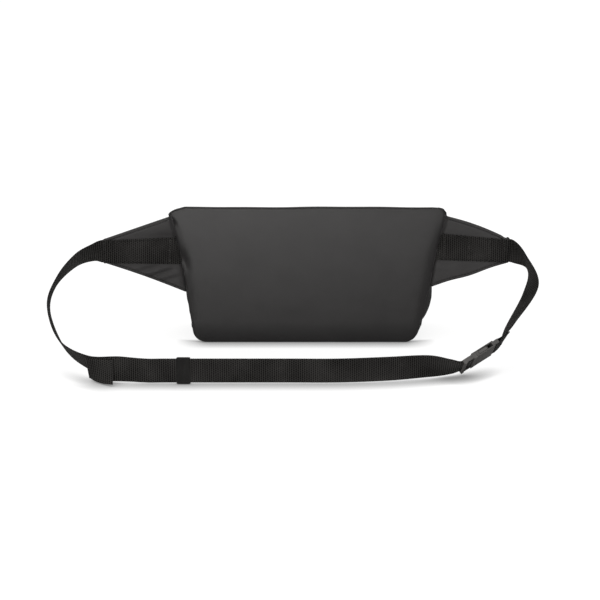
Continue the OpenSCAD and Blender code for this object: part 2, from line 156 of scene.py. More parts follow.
def ripple(points, size, seed=0.0):
    """Smooth noise from -1 to 1 at every point, with bumps of the given size."""
    flat = np.asarray(points, float).reshape(-1, 3) / size + seed
    values = [noise.noise(Vector(p)) for p in flat]
    return np.array(values).reshape(np.asarray(points).shape[:-1])


def hermite(values, at, targets):
    """Smooth curve through the rows of values, given at the distances "at"."""
    slopes = np.gradient(values, at, axis=0)
    i = np.clip(np.searchsorted(at, targets, side="right") - 1, 0, len(at) - 2)
    h = (at[i + 1] - at[i])[:, None]
    t = (targets[:, None] - at[i][:, None]) / h
    return ((2 * t**3 - 3 * t**2 + 1) * values[i] + (t**3 - 2 * t**2 + t) * h * slopes[i]
            + (3 * t**2 - 2 * t**3) * values[i + 1] + (t**3 - t**2) * h * slopes[i + 1])


def lengths(points):
    """Distance along a line of points, from its first point."""
    return np.concatenate([[0], np.cumsum(np.linalg.norm(np.diff(points, axis=0), axis=1))])


def refine(grid, times):
    """The same surface with every cell cut into times x times cells."""
    for axis in (0, 1):
        rows = np.moveaxis(grid, axis, 0)
        at = np.arange(len(rows), dtype=float)
        targets = np.linspace(0, at[-1], (len(rows) - 1) * times + 1)
        fine = hermite(rows.reshape(len(rows), -1), at, targets)
        grid = np.moveaxis(fine.reshape((-1,) + rows.shape[1:]), 0, axis)
    return grid


def grid_normals(grid):
    return unit(np.cross(np.gradient(grid, axis=1), np.gradient(grid, axis=0)))


def quads(index):
    """Faces over a two-way array of vertex numbers."""
    return np.stack([index[:-1, :-1], index[:-1, 1:], index[1:, 1:], index[1:, :-1]],
                    -1).reshape(-1, 4).tolist()


def tube_faces(rings, sides, first=0, joined=False):
    """Faces round a row of point rings: capped at both ends, or joined into a loop."""
    number = first + np.arange(rings * sides).reshape(rings, sides)
    loop = np.concatenate([number, number[:, :1]], 1)
    if joined:
        return quads(np.concatenate([loop, loop[:1]], 0))
    return quads(loop) + [number[0, ::-1].tolist(), number[-1].tolist()]


def around(rows, cols):
    """Row and column of every point on the rim of a grid, in order."""
    return np.array([(0, c) for c in range(cols)] + [(r, cols - 1) for r in range(1, rows)]
                    + [(rows - 1, c) for c in range(cols - 2, -1, -1)]
                    + [(r, 0) for r in range(rows - 2, 0, -1)])


# ---- objects ----
def placed(name, data):
    made = bpy.data.objects.new(name, data)
    bpy.context.scene.collection.objects.link(made)
    return made


def new_object(name, points, faces, material, uv=None, smooth=True):
    """A mesh with its faces turned outwards; uv is in millimetres, one pair for each point."""
    mesh = bpy.data.meshes.new(name)
    mesh.from_pydata((np.asarray(points, float) * MM).tolist(), [], faces)
    if uv is not None:
        corner = np.empty(len(mesh.loops), np.int32)
        mesh.loops.foreach_get("vertex_index", corner)
        layer = mesh.uv_layers.new(name="cloth")
        layer.data.foreach_set("uv", np.asarray(uv, np.float32)[corner].ravel())
    shape = bmesh.new()
    shape.from_mesh(mesh)
    bmesh.ops.recalc_face_normals(shape, faces=shape.faces)
    shape.to_mesh(mesh)
    shape.free()
    mesh.polygons.foreach_set("use_smooth", [smooth] * len(mesh.polygons))
    mesh.materials.append(material)
    return placed(name, mesh)


def piece(made, slot, *nodes, body="root"):
    """Hands over a finished object: the body it rides on, and the CAD nodes it replaces. slot is not used."""
    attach(made, body)
    if nodes:
        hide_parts(*nodes)
    return made


def baked(made):
    """Puts the object's modifiers into its mesh."""
    shown = made.evaluated_get(bpy.context.evaluated_depsgraph_get())
    made.data = bpy.data.meshes.new_from_object(shown)
    made.modifiers.clear()


def cut_away(made, cutter):
    """Takes the cutter's shape out of the object, and removes the cutter."""
    cut = made.modifiers.new("cut", "BOOLEAN")
    cut.operation, cut.object, cut.solver = "DIFFERENCE", cutter, "EXACT"
    bpy.context.view_layer.update()
    baked(made)
    bpy.data.objects.remove(cutter)


def slab(name, outer, inner, material, uv=None, bulge=0.5):
    """A closed sheet between two matching grids, with a rounded rim."""
    rows, cols = outer.shape[:2]
    count = rows * cols
    number = np.arange(count).reshape(rows, cols)
    rim = around(rows, cols)
    r, c = rim.T
    inside = outer[np.clip(r, 1, rows - 2), np.clip(c, 1, cols - 2)]
    middle = (outer[r, c] + inner[r, c]) / 2
    thick = np.linalg.norm(outer[r, c] - inner[r, c], axis=1, keepdims=True)
    middle = middle + unit(outer[r, c] - inside) * thick * bulge
    edge = 2 * count + np.arange(len(rim))
    loops = np.stack([number[r, c], edge, count + number[r, c]])
    loops = np.concatenate([loops, loops[:, :1]], 1)
    faces = quads(number) + quads(count + number) + quads(loops)
    points = np.concatenate([outer.reshape(-1, 3), inner.reshape(-1, 3), middle])
    uv = grid_uv(outer) if uv is None else uv
    uv = np.concatenate([uv.reshape(-1, 2), uv.reshape(-1, 2), uv[r, c]])
    return new_object(name, points, faces, material, uv)


# ---- materials ----
def add(tree, kind, inputs=None, **settings):
    made = tree.nodes.new("ShaderNode" + kind)
    for key, value in settings.items():
        setattr(made, key, value)
    for key, value in (inputs or {}).items():
        if isinstance(value, bpy.types.NodeSocket):
            tree.links.new(value, made.inputs[key])
        else:
            made.inputs[key].default_value = value
    return made


def calc(tree, operation, a, b=0.0, c=0.0):
    return add(tree, "Math", {0: a, 1: b, 2: c}, operation=operation).outputs[0]


def cloud(tree, place, scale, detail=2.0):
    return add(tree, "TexNoise", {"Vector": place, "Scale": scale, "Detail": detail}).outputs[0]


def wave(tree, value, pitch, shift=0.0):
    """A sine of a length in millimetres, from -1 to 1."""
    return calc(tree, "SINE", calc(tree, "MULTIPLY_ADD", value, 2 * math.pi / pitch, shift))


def place_of(tree, use_uv):
    """The place on the piece in millimetres, and its two directions along the cloth."""
    if use_uv:
        where = add(tree, "UVMap", uv_map="cloth").outputs[0]
    else:
        where = add(tree, "VectorMath", {0: add(tree, "TexCoord").outputs["Object"],
                                         1: (1000, 1000, 1000)}, operation="MULTIPLY").outputs[0]
    parts = add(tree, "SeparateXYZ", {0: where}).outputs
    return where, parts[0], parts[1] if use_uv else parts[2]


def blank(name):
    material = bpy.data.materials.new(name)
    material.use_nodes = True
    material.node_tree.nodes.clear()
    return material, material.node_tree


def finish_surface(tree, colour, roughness, height, depth, sheen=0.0, sheen_rough=0.5, gloss=0.5,
                   metallic=0.0):
    bump = add(tree, "Bump", {"Strength": 1.0, "Distance": depth * MM, "Height": height})
    shader = add(tree, "BsdfPrincipled", {
        "Base Color": colour, "Roughness": roughness, "Normal": bump.outputs[0], "Metallic": metallic,
        "Sheen Weight": sheen, "Sheen Roughness": sheen_rough, "Specular IOR Level": gloss})
    add(tree, "OutputMaterial", {"Surface": shader.outputs[0]})


def shade(tree, dark, light, amount):
    return add(tree, "MixRGB", {"Fac": amount, "Color1": (*dark, 1), "Color2": (*light, 1)}).outputs[0]


def span(tree, value, low, high, start=0.0, end=1.0):
    """value, which runs from start to end, brought to low..high."""
    return add(tree, "MapRange", {"Value": value, "From Min": start, "From Max": end,
                                  "To Min": low, "To Max": high}).outputs[0]


def woven(name, dark, light, yarn, rough, depth, crease=0.0, sheen=0.0, gloss=0.5):
    """Cloth: a plain weave of the given yarn distance, uneven colour, and soft creases."""
    material, tree = blank(name)
    where, along, across = place_of(tree, True)
    weave = calc(tree, "MULTIPLY", wave(tree, along, yarn), wave(tree, across, yarn))
    patches = cloud(tree, where, 0.035, 3)
    fibres = cloud(tree, where, 1.6 / yarn, 2)
    tone = calc(tree, "MULTIPLY_ADD", weave, 0.18, patches)
    tone = calc(tree, "MULTIPLY_ADD", calc(tree, "SUBTRACT", fibres, 0.5), 0.3, tone)
    creases = calc(tree, "MULTIPLY", cloud(tree, where, 0.06, 4), crease)
    height = calc(tree, "MULTIPLY_ADD", weave, 0.25 * yarn, creases)
    finish_surface(tree, shade(tree, dark, light, tone), span(tree, fibres, rough - 0.06, rough + 0.06),
                   height, depth, sheen, 0.4, gloss)
    return material


def ribbed(name, dark, light, rough, pitch=RIB, yarn=1.9):
    """Webbing: rows of floats across the width, shifted by half a yarn from one rib to the next. Its colour
    is painted lighter on the rib tops and floats and darker in the grooves, a painted highlight and painted
    groove shade, and its sheen and gloss drop in the grooves.
    """
    material, tree = blank(name)
    where, along, across = place_of(tree, True)
    ribs = wave(tree, along, pitch, math.pi / 2)
    turn = calc(tree, "MULTIPLY", calc(tree, "FLOOR", calc(tree, "DIVIDE", along, pitch)), yarn / 2)
    floats = wave(tree, calc(tree, "ADD", across, turn), yarn)
    fibres = cloud(tree, where, 3.0, 3)
    patches = cloud(tree, where, 0.03, 2)
    height = calc(tree, "MULTIPLY_ADD", floats, 0.5, calc(tree, "MULTIPLY", fibres, 0.6))
    # painted highlight on the raised ribs and floats, painted shade in the grooves between them
    tone = calc(tree, "MULTIPLY_ADD", floats, 0.36, calc(tree, "MULTIPLY_ADD", ribs, 0.38, patches))
    finish_surface(tree, shade(tree, dark, light, tone), span(tree, fibres, rough - 0.08, rough + 0.08),
                   height, 0.25, span(tree, tone, 0.0, 0.08), gloss=span(tree, tone, 0.03, 0.45))
    return material


def moulded(name, dark, light, rough, metallic=0.0, wear=0.5):
    """Plastic or lacquer: a fine grain, uneven sheen, and edges rubbed lighter."""
    material, tree = blank(name)
    where, _, _ = place_of(tree, False)
    pits = cloud(tree, where, 2.5, 3)
    patches = cloud(tree, where, 0.15, 3)
    worn = span(tree, add(tree, "NewGeometry").outputs["Pointiness"], 0.0, wear, 0.51, 0.6)
    tone = calc(tree, "MULTIPLY_ADD", patches, 0.5, worn)
    finish_surface(tree, shade(tree, dark, light, tone), span(tree, pits, rough - 0.07, rough + 0.09),
                   pits, 0.05, metallic=metallic)
    return material


def spongy(name, dark, light):
    """Closed-cell foam with its small pores."""
    material, tree = blank(name)
    where, _, _ = place_of(tree, False)
    cells = add(tree, "TexVoronoi", {"Vector": where, "Scale": 1.3}).outputs["Distance"]
    finish_surface(tree, shade(tree, dark, light, cells), span(tree, cells, 0.75, 0.95), cells, 0.4)
    return material


def braided(name, dark, light, mark):
    """Rope cover: crossing strands, with a darker marker strand."""
    material, tree = blank(name)
    where, along, turn = place_of(tree, True)
    left = wave(tree, calc(tree, "ADD", along, turn), 3.6)
    right = wave(tree, calc(tree, "SUBTRACT", along, turn), 3.6)
    strands = calc(tree, "MAXIMUM", left, right)
    fibres = cloud(tree, where, 2.5, 3)
    tone = calc(tree, "MULTIPLY_ADD", strands, 0.35, fibres)
    marked = calc(tree, "GREATER_THAN", wave(tree, calc(tree, "SUBTRACT", along, turn), 14.4), 0.8)
    base = shade(tree, dark, light, tone)
    colour = add(tree, "MixRGB", {"Fac": marked, "Color1": base, "Color2": (*mark, 1)}).outputs[0]
    finish_surface(tree, colour, span(tree, fibres, 0.55, 0.75), strands, 0.5, 0.1)
    return material


SHELL = woven("shell_fabric", (0.0165, 0.0155, 0.0157), (0.0235, 0.0222, 0.0225), 0.45, 0.42,
              depth=0.12, crease=1.2, sheen=0.04, gloss=0.5)
WING = woven("wing_fabric", (0.027, 0.0256, 0.0257), (0.042, 0.04, 0.0403), 0.6, 0.55,
             depth=0.2, crease=0.8, sheen=0.08, gloss=0.4)
LINING = woven("lining", (0.06, 0.06, 0.063), (0.1, 0.1, 0.105), 0.7, 0.7, depth=0.2)
TAPE = woven("zip_tape", (0.012, 0.012, 0.012), (0.022, 0.022, 0.022), 0.9, 0.75, depth=0.3)
# the ribbed materials' wide dark-to-light range carries their painted rib highlight and groove shade
ELASTIC = ribbed("elastic", (0.008, 0.0076, 0.0072), (0.017, 0.0162, 0.0155), 0.62,
                 pitch=ELASTIC_RIB, yarn=0.8)
WEBBING = ribbed("webbing", (0.001, 0.0009, 0.0008), (0.029, 0.0272, 0.0252), 0.66)
THREAD = ribbed("thread", (0.03, 0.0285, 0.027), (0.075, 0.072, 0.068), 0.5, pitch=0.6, yarn=0.5)
DARK_THREAD = ribbed("dark_thread", (0.003, 0.003, 0.003), (0.01, 0.0095, 0.009), 0.6, pitch=0.6, yarn=0.5)
FOAM = spongy("foam", (0.08, 0.08, 0.085), (0.17, 0.17, 0.18))
TEETH = moulded("zip_teeth", (0.018, 0.018, 0.018), (0.05, 0.05, 0.05), 0.38, wear=0.4)
LACQUER = moulded("zip_metal", (0.02, 0.02, 0.02), (0.1, 0.1, 0.1), 0.3, metallic=0.4, wear=0.8)
BRASS = moulded("eyelet_metal", (0.02, 0.02, 0.021), (0.12, 0.11, 0.1), 0.32, metallic=0.5, wear=0.8)
PLASTIC = moulded("buckle_plastic", (0.05, 0.0485, 0.046), (0.105, 0.101, 0.097), 0.42, wear=0.5)
SLEEVE = moulded("sleeve_plastic", (0.015, 0.015, 0.015), (0.05, 0.05, 0.05), 0.25)
CORD = braided("rope_cord", (0.5, 0.1, 0.012), (0.85, 0.25, 0.04), (0.02, 0.02, 0.02))


# ---- thread ----
def threads(name, runs, length=2.5, pitch=3.4, radius=0.3, material=THREAD):
    """Lockstitches. A run is a line the thread follows, and the outward direction at its points."""
    points, faces, uv = [], [], []
    sides, cuts = 6, 5
    for line, outward in runs:
        line = np.asarray(line, float)
        outward = np.broadcast_to(outward, line.shape)
        at = lengths(line)
        for start in np.arange(0.3, at[-1] - length, pitch):
            here = np.linspace(start, start + length, cuts)
            centre = along_line(here, at, line)
            out = unit(along_line(here, at, outward))
            t = unit(np.gradient(centre, axis=0))
            side = np.cross(t, out)
            swell = np.sin(np.linspace(0.12, 0.88, cuts) * math.pi)[:, None]
            first = len(points)
            for i in range(cuts):
                middle = centre[i] + out[i] * radius * (swell[i] - 0.75)
                for a in turns(sides):
                    ring = side[i] * math.cos(a) + out[i] * math.sin(a)
                    points.append(middle + ring * radius * swell[i] ** 0.5)
                    uv.append((here[i], a * radius))
            faces += tube_faces(cuts, sides, first)
    return new_object(name, points, faces, material, uv)


def stitches(name, runs, **kind):
    piece(threads(name, runs, **kind), "webbing")


# ---- pouch shell ----
def corner_arc(a, b, c, radius, n=6):
    """Arc that rounds the corner b between its neighbours a and c."""
    a, b, c = (np.array(p, float) for p in (a, b, c))
    u, v = unit(a - b), unit(c - b)
    half = math.acos(float(u @ v)) / 2
    centre = b + unit(u + v) * radius / math.sin(half)
    s, e = b + u * radius / math.tan(half) - centre, b + v * radius / math.tan(half) - centre
    start = math.atan2(s[1], s[0])
    sweep = math.atan2(s[0] * e[1] - s[1] * e[0], s @ e)
    angles = start + sweep * np.linspace(0, 1, n + 1)
    return centre + radius * stacked(np.cos(angles), np.sin(angles))


FOOT_ARC = corner_arc((-BASE_W / 2, 0), (BASE_W / 2, 0), (TOP_W / 2, BAG_H), BASE_R)
HEAD_ARC = corner_arc((BASE_W / 2, 0), (TOP_W / 2, BAG_H), (-TOP_W / 2, BAG_H), TOP_R)
SIDE_LINE = np.concatenate([FOOT_ARC, HEAD_ARC])


def half_width(z):
    return np.interp(z, SIDE_LINE[:, 1], SIDE_LINE[:, 0])


def front_line():
    """The front's side view (y, z): a curve from the base to the top slope, which goes up to the ridge."""
    ridge, joint, handle = (np.array([RIDGE_Y + s * SLOPE_COS, BAG_H - s * SLOPE_SIN]) for s in (0, 28, 98))
    foot, foot_handle = np.array([FRONT_Y, 0]), np.array([FRONT_Y + 26, 2])
    t = np.linspace(0, 1, 60)[:, None]
    curve = (1 - t)**3 * foot + 3 * (1 - t)**2 * t * foot_handle + 3 * (1 - t) * t * t * handle + t**3 * joint
    return np.concatenate([curve, [ridge]])


FRONT_LINE = front_line()


def front_y(z):
    return np.interp(z, FRONT_LINE[:, 1], FRONT_LINE[:, 0])


def back_y(z):
    return mix(BACK_Y, RIDGE_Y, z / BAG_H)


def slope_z(s):
    return BAG_H - s * SLOPE_SIN


COLS, DEEP = 73, 13          # points across the pouch, and from its back to its front


def level_heights():
    """Heights of the shell's rows, with the zip's two edges among them."""
    between = np.linspace(FOOT_ARC[-1, 1], slope_z(ZIP_LOWER), 28)
    crown = [slope_z((ZIP_UPPER + ZIP_LOWER) / 2), slope_z(ZIP_UPPER), 145.2, 147.6, 149.2, BAG_H]
    return np.concatenate([FOOT_ARC[:-1, 1], between, crown])


LEVELS = level_heights()
ROW_ZIP_LOWER = int(np.argmin(abs(LEVELS - slope_z(ZIP_LOWER))))
ROW_ZIP_UPPER = int(np.argmin(abs(LEVELS - slope_z(ZIP_UPPER))))


def shell_grids():
    """The closed shell as grids of points: back, front, two gussets and base."""
    across = np.linspace(-1, 1, COLS)
    deep = np.linspace(0, 1, DEEP)
    z = LEVELS[:, None]
    x = half_width(z) * across
    y = mix(back_y(z), front_y(z), deep)
    return {"back": stacked(x, back_y(z), z), "front": stacked(x, front_y(z), z),
            "left": stacked(-half_width(z), y, z), "right": stacked(half_width(z), y, z),
            "base": stacked(half_width(0) * across, mix(BACK_Y, FRONT_Y, deep)[:, None], 0.0)}


def weld_grids(grids):
    """One list of points for all grids, and each grid's numbers into it."""
    every = np.concatenate([g.reshape(-1, 3) for g in grids.values()])
    _, first, number = np.unique(np.round(every, 2), axis=0, return_index=True, return_inverse=True)
    number = number.reshape(-1)
    index, start = {}, 0
    for name, g in grids.items():
        size = g.shape[0] * g.shape[1]
        index[name] = number[start:start + size].reshape(g.shape[:2])
        start += size
    return every[first], index


def proper(faces):
    """The faces without repeated corners, and without those that have no area."""
    clean = [list(dict.fromkeys(f)) for f in faces]
    return [f for f in clean if len(f) > 2]


def movement_caps(points, index):
    """How far the pressure may move each point of the shell."""
    cap = np.full(len(points), 6.0)
    cap[index["back"].ravel()] = 5.5
    for _, side in SIDES:
        cap[index[side].ravel()] = 4.0
        cap[index[side][:, [0, -1]].ravel()] = 1.4
    x, y, z = points.T
    cap[(z > slope_z(27)) & (y > back_y(z) + 0.5)] = 0.15     # the zip's slope
    cap[z > BAG_H - 0.5] = 0.3                                # the ridge
    cap[z < 0.2] = 0.0                                        # the base
    near_eyelet = np.hypot(y - EYELET_AT[0], z - EYELET_AT[1]) < 10
    cap[near_eyelet & (abs(x) > half_width(z) - 1)] = 0.0
    return cap


def inflate(points, faces, hold, slack, pressure=3.0, most_slack=0.03, last_frame=20):
    """Cloth under pressure, with the points in hold kept in place and extra length where slack is 1."""
    body = new_object("cloth_try", points, faces, SHELL)
    pins = body.vertex_groups.new(name="hold")
    pins.add([int(i) for i in np.nonzero(hold)[0]], 1.0, "REPLACE")
    cloth = body.modifiers.new("cloth", "CLOTH")
    cloth.point_cache.frame_start, cloth.point_cache.frame_end = 1, last_frame
    rules = cloth.settings
    rules.quality, rules.mass = 6, 0.2
    rules.tension_stiffness = rules.compression_stiffness = 25
    rules.shear_stiffness, rules.bending_stiffness = 8, 1.2
    rules.use_pressure, rules.uniform_pressure_force = True, pressure
    loose = body.vertex_groups.new(name="loose")
    for share in np.unique(slack):
        loose.add([int(i) for i in np.nonzero(slack == share)[0]], float(share), "REPLACE")
    rules.vertex_group_shrink = "loose"
    rules.shrink_min, rules.shrink_max = 0.0, -most_slack
    rules.vertex_group_mass = "hold"
    rules.effector_weights.gravity = 0
    for step in range(1, last_frame + 1):
        bpy.context.scene.frame_set(step)
    shown = body.evaluated_get(bpy.context.evaluated_depsgraph_get())
    moved = np.empty(len(points) * 3)
    shown.data.vertices.foreach_get("co", moved)
    bpy.data.objects.remove(body)
    bpy.context.scene.frame_set(1)
    return moved.reshape(-1, 3) / MM


def pouch_shape():
    """The shell's grids after the pressure, with every movement capped."""
    grids = shell_grids()
    points, index = weld_grids(grids)
    faces = proper([f for i in index.values() for f in quads(i)])
    caps = movement_caps(points, index)
    slack = np.zeros(len(points))
    for name, share in (("front", 0.25), ("left", 1.0), ("right", 1.0)):
        slack[index[name].ravel()] = share
    step = inflate(points, faces, caps < 0.4, slack) - points
    size = np.linalg.norm(step, axis=1, keepdims=True)
    limit = caps[:, None] * np.tanh(size / np.maximum(caps[:, None], 1e-6))
    moved = points + step / np.maximum(size, 1e-6) * limit
    return {name: moved[i] for name, i in index.items()}


WIDENED = 0.021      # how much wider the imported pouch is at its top


def widening(z):
    return 1 + WIDENED * ease((z - 90) / 50)


def hill(x, z, at_x, at_z, wide, high):
    """A soft round hill of height 1."""
    return np.exp(-((x - at_x) / wide)**2 - ((z - at_z) / high)**2)


def crumpled(grid):
    """Dents, listed one by one, that the pressure doesn't give."""
    g = grid.copy()
    x, y, z = np.moveaxis(grid, -1, 0)
    deep = y - back_y(z)
    behind = ease(1 - deep / 4)
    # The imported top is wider, and the lower right corner is pulled in.
    g[..., 0] *= widening(z)
    g[..., 0] -= 6.0 * ease((46 - z) / 46) * ease((x - 95) / 25)
    # The right gusset shows as a sliver beside the back panel.
    slipped = -2.8 + 5.6 * ease(deep / 8) - 2.8 * ease((deep - 12) / 20)
    g[..., 0] += slipped * arch((z - 18) / 48) * ease((x - half_width(z) + 14) / 12)
    # The ridge is wavy, and both of its ends drop.
    crown = ease((z - 128) / 22)
    drop = 5.0 * ease((-x - 127) / 18) * crown + 1.2 * ease((x - 128) / 16) * crown
    wavy = 0.3 * np.sin(x / 27.0) + 0.15 * np.sin(x / 11.0 + 1.0)
    g[..., 2] -= (drop - wavy * crown * ease((146 - abs(x)) / 14)) * ease(z / 30)
    tip = hill(x, z, -146, 148, 8, 7)
    g[..., 0] -= 2.4 * tip
    g[..., 2] += 1.4 * tip
    # The left wing pulls a dent beside its webbing and a crease under the top corner.
    inward = half_width(z) + x
    g[..., 1] += 1.9 * behind * hill(inward, z + 0.7 * inward, 3.5, 95, 4.5, 10)
    across, along = (x + 145) * 0.87 + (z - 140) * 0.5, (z - 140) * 0.87 - (x + 145) * 0.5
    g[..., 1] += 2.6 * behind * hill(across, along, 0, -4, 2.0, 7)
    return g


def puckered(grid, amount, seed):
    """Short gathers that die away from the seams at both ends of every row."""
    g = grid.copy()
    cols = grid.shape[1]
    from_seam = np.minimum(np.arange(cols), np.arange(cols)[::-1]) / (cols - 1)
    fade = np.exp(-from_seam * 9) * (1 - np.exp(-from_seam * 60))
    stripes = ripple(grid * np.array([0.2, 0.25, 1.0]), 6.5, seed)
    return g + grid_normals(grid) * (stripes * fade * amount * 2.4)[..., None]


CENTRE = np.array([0.0, -5.0, 65.0])     # a point well inside the pouch


def outward_side(grid):
    """The grid's normals, turned away from the pouch's middle."""
    n = grid_normals(grid)
    return n * np.sign(((grid - CENTRE) * n).sum(-1).mean())


def grid_uv(grid):
    """Distances in millimetres along both directions of a grid."""
    mid = grid.shape[0] // 2, grid.shape[1] // 2
    u, v = lengths(grid[mid[0]]), lengths(grid[:, mid[1]])
    return np.stack(np.meshgrid(u, v), -1)


def cloth_panel(name, grid, node, fine=2, seam=0.7, ridge=1.0):
    """A panel of the shell: its outer face is the grid, and its thickness goes inwards.
    seam is how far its rim is pulled in, and ridge the share of that along its last row."""
    grid = crumpled(refine(grid, fine))
    out = outward_side(grid)
    pull = np.zeros(grid.shape[:2])
    rim = around(*pull.shape)
    pull[rim[:, 0], rim[:, 1]] = seam
    pull[-1] *= ridge
    small = ripple(grid, 31.0, 4.0) * 0.13 + ripple(grid, 10.0, 7.0) * 0.025
    small[rim[:, 0], rim[:, 1]] = 0
    grid = grid + out * (small - pull)[..., None]
    made = slab(name, grid, grid - out * PANEL_T, SHELL, bulge=0.3)
    return piece(made, "shell_fabric", node)


def with_hole(made, centre, axis, radius):
    """Cuts a round hole through a sheet."""
    turn = Vector(axis).to_track_quat("Z", "Y")
    shape = bmesh.new()
    bmesh.ops.create_cone(shape, cap_ends=True, segments=40, radius1=radius * MM, radius2=radius * MM,
                          depth=14 * MM)
    mesh = bpy.data.meshes.new("cutter")
    shape.to_mesh(mesh)
    shape.free()
    cutter = placed("cutter", mesh)
    cutter.rotation_mode = "QUATERNION"
    cutter.rotation_quaternion, cutter.location = turn, Vector(centre) * MM
    cut_away(made, cutter)


def pouch():
    """Shell panels, padding and lining, from one simulated shape."""
    grids = pouch_shape()
    back, front = grids["back"], grids["front"]
    cloth_panel("back_panel_cloth", back, "back_panel", ridge=0.12)
    cloth_panel("front_panel_cloth", front[:ROW_ZIP_LOWER + 1], "front_panel")
    cloth_panel("top_strip_cloth", front[ROW_ZIP_UPPER:], "top_strip", fine=3, seam=0.3, ridge=0.2)
    cloth_panel("base_panel_cloth", grids["base"][1:-1, 1:-1], "base_panel", seam=0.0)
    lean = math.atan2(TOP_W - BASE_W, 2 * BAG_H)
    for side, name in SIDES:
        grid = puckered(refine(grids[name], 2), 1.0, 3.0 * side)
        made = cloth_panel(f"gusset_{name}_cloth", grid, f"gusset_{name}", fine=1)
        x = side * float(half_width(EYELET_AT[1]))
        with_hole(made, (x, *EYELET_AT), (side * math.cos(lean), 0, -math.sin(lean)), EYELET_R)
    padding(crumpled(back), grids["base"])


def layer_of(name, grid, node, depths, margin, material, slot):
    """A soft layer between two depths under a grid, with its rim cut back by margin cells."""
    grid = grid[margin:-margin, margin:-margin]
    out = outward_side(grid)
    made = slab(name, grid - out * depths[0], grid - out * depths[1], material, grid_uv(grid))
    piece(made, slot, node)


def padding(back, base):
    start = PANEL_T + 0.4
    end = start + FOAM_T
    back = back[(LEVELS > 5) & (LEVELS < 128)]
    layer_of("back_foam_pad", back, "back_foam", (start, end - 0.3), 1, FOAM, "foam")
    layer_of("back_lining_cloth", back, "back_lining", (end, end + 0.6), 1, LINING, "lining")
    layer_of("base_foam_pad", base, "base_foam", (start, start + FOAM_T - 1), 2, FOAM, "foam")
    for side, name in SIDES:
        z = np.linspace(16, 122, 54)
        x = side * (half_width(z) - PANEL_T - 0.9)
        y0 = back_y(z) + PANEL_T + FOAM_T + 2.4 + 0.25 * np.sin(z / 5)
        rows = [stacked(x - side * 0.2 * math.sin(k), y0 + k, z) for k in np.linspace(0, 6.2, 7)]
        strip = np.stack(rows, 1)
        inner = strip - np.array([side * 0.9, 0, 0])
        made = slab(f"seam_binding_{name}_tape", strip, inner, LINING)
        piece(made, "lining", f"seam_binding_{name}")


pouch()


# ---- webbing bands ----
STEPS = 8            # cuts between two knots of a strap


def catmull(a, b, c, d, t):
    return (2 * b + (c - a) * t + (2 * a - 5 * b + 4 * c - d) * t * t
            + (3 * b - a - 3 * c + d) * t**3) / 2


def sections_of(knots):
    """Middles, lean and face directions of a strap through its knots; the first is joined on straight."""
    rows = [np.concatenate([np.asarray(p, float), np.asarray(lean, float)]) for p, lean in knots]
    rows.append(2 * rows[-1] - rows[-2])
    line = [rows[0]]
    for i in range(1, len(knots) - 1):
        line += [catmull(*rows[i - 1:i + 3], j / STEPS) for j in range(STEPS)]
    line = np.array(line + [rows[-2]])
    middle, lean = line[:, :3], unit(line[:, 3:])
    ahead = middle[np.minimum(np.arange(len(line)) + 1, len(line) - 1)]
    behind = middle[np.maximum(np.arange(len(line)) - 1, 0)]
    return np.concatenate([middle, lean, unit(np.cross(ahead - behind, lean))], 1)


def half_turn(section, side, radius, n=8):
    """The webbing's way round a bar, or round its own folded end."""
    middle, lean, face = section[:3], section[3:6], section[6:]
    t = np.cross(lean, face)
    centre = middle - side * radius * face
    a = np.linspace(0, math.pi, n + 1)[1:, None]
    return np.concatenate([centre + radius * (side * np.cos(a) * face + np.sin(a) * t),
                           np.repeat(lean[None], n, 0), np.cos(a) * face + side * np.sin(a) * t], 1)


def back_along(main, side, lift):
    """The layer that comes back along a strap, "lift" away from it at each section."""
    back = main[::-1][1:len(lift)].copy()
    back[:, :3] -= side * np.array(lift[1:])[:, None] * back[:, 6:]
    back[:, 6:] *= -1
    return back


def densified(sections, step):
    at = lengths(sections[:, :3])
    targets = np.linspace(0, at[-1], int(at[-1] / step) + 1)
    fine = hermite(sections, at, targets)
    fine[:, 3:6], fine[:, 6:] = unit(fine[:, 3:6]), unit(fine[:, 6:])
    return fine


ACROSS = np.array([-0.975, -0.88, -0.62, -0.3, 0, 0.3, 0.62, 0.88, 0.975])
RELIEF = np.array([0.4, 0.9, 1, 1, 1, 1, 1, 0.9, 0.4])


def band(name, sections, width=STRAP_W, thick=STRAP_T, relief=0.17, rib=RIB, narrower=0.0):
    """A ribbed band of webbing with rounded, scalloped edges."""
    s = densified(sections, rib / RIB_STEPS)
    n = len(s)
    at = lengths(s[:, :3])[:, None]
    ribs = np.cos(2 * math.pi * at / rib)
    edge = (width - narrower * at / at[-1]) / 2 * (1 + 0.006 * ribs)
    over = thick / 2 - relief * 0.6 + relief * ribs * RELIEF
    under = -thick / 2 + relief * 0.6 + relief * ribs * RELIEF * -1
    w = np.concatenate([ACROSS * edge, edge, edge, ACROSS[::-1] * edge, -edge, -edge], 1)
    side_t = np.full((n, 1), thick * 0.22)
    t = np.concatenate([over, side_t, -side_t, under[:, ::-1], -side_t, side_t], 1)
    points = s[:, None, :3] + w[..., None] * s[:, None, 3:6] + t[..., None] * s[:, None, 6:]
    faces = tube_faces(*points.shape[:2])
    return new_object(name, points.reshape(-1, 3), faces, WEBBING, stacked(at, w).reshape(-1, 2)), s


def thread_runs(sections, rows, out):
    """Runs of thread on a band. A row is (start, end, first, last): its distances along and across."""
    at = lengths(sections[:, :3])

    def spot(d, w):
        row = along_line(d, at, sections)
        return row[:3] + row[3:6] * w + row[6:] * out, row[6:] * np.sign(out)

    runs = []
    for start, end, w0, w1 in rows:
        cuts = max(3, int(abs(start - end) + abs(w0 - w1)))
        pairs = [spot(mix(start, end, t), mix(w0, w1, t)) for t in np.linspace(0, 1, cuts)]
        runs.append(([p for p, _ in pairs], [n for _, n in pairs]))
    return runs


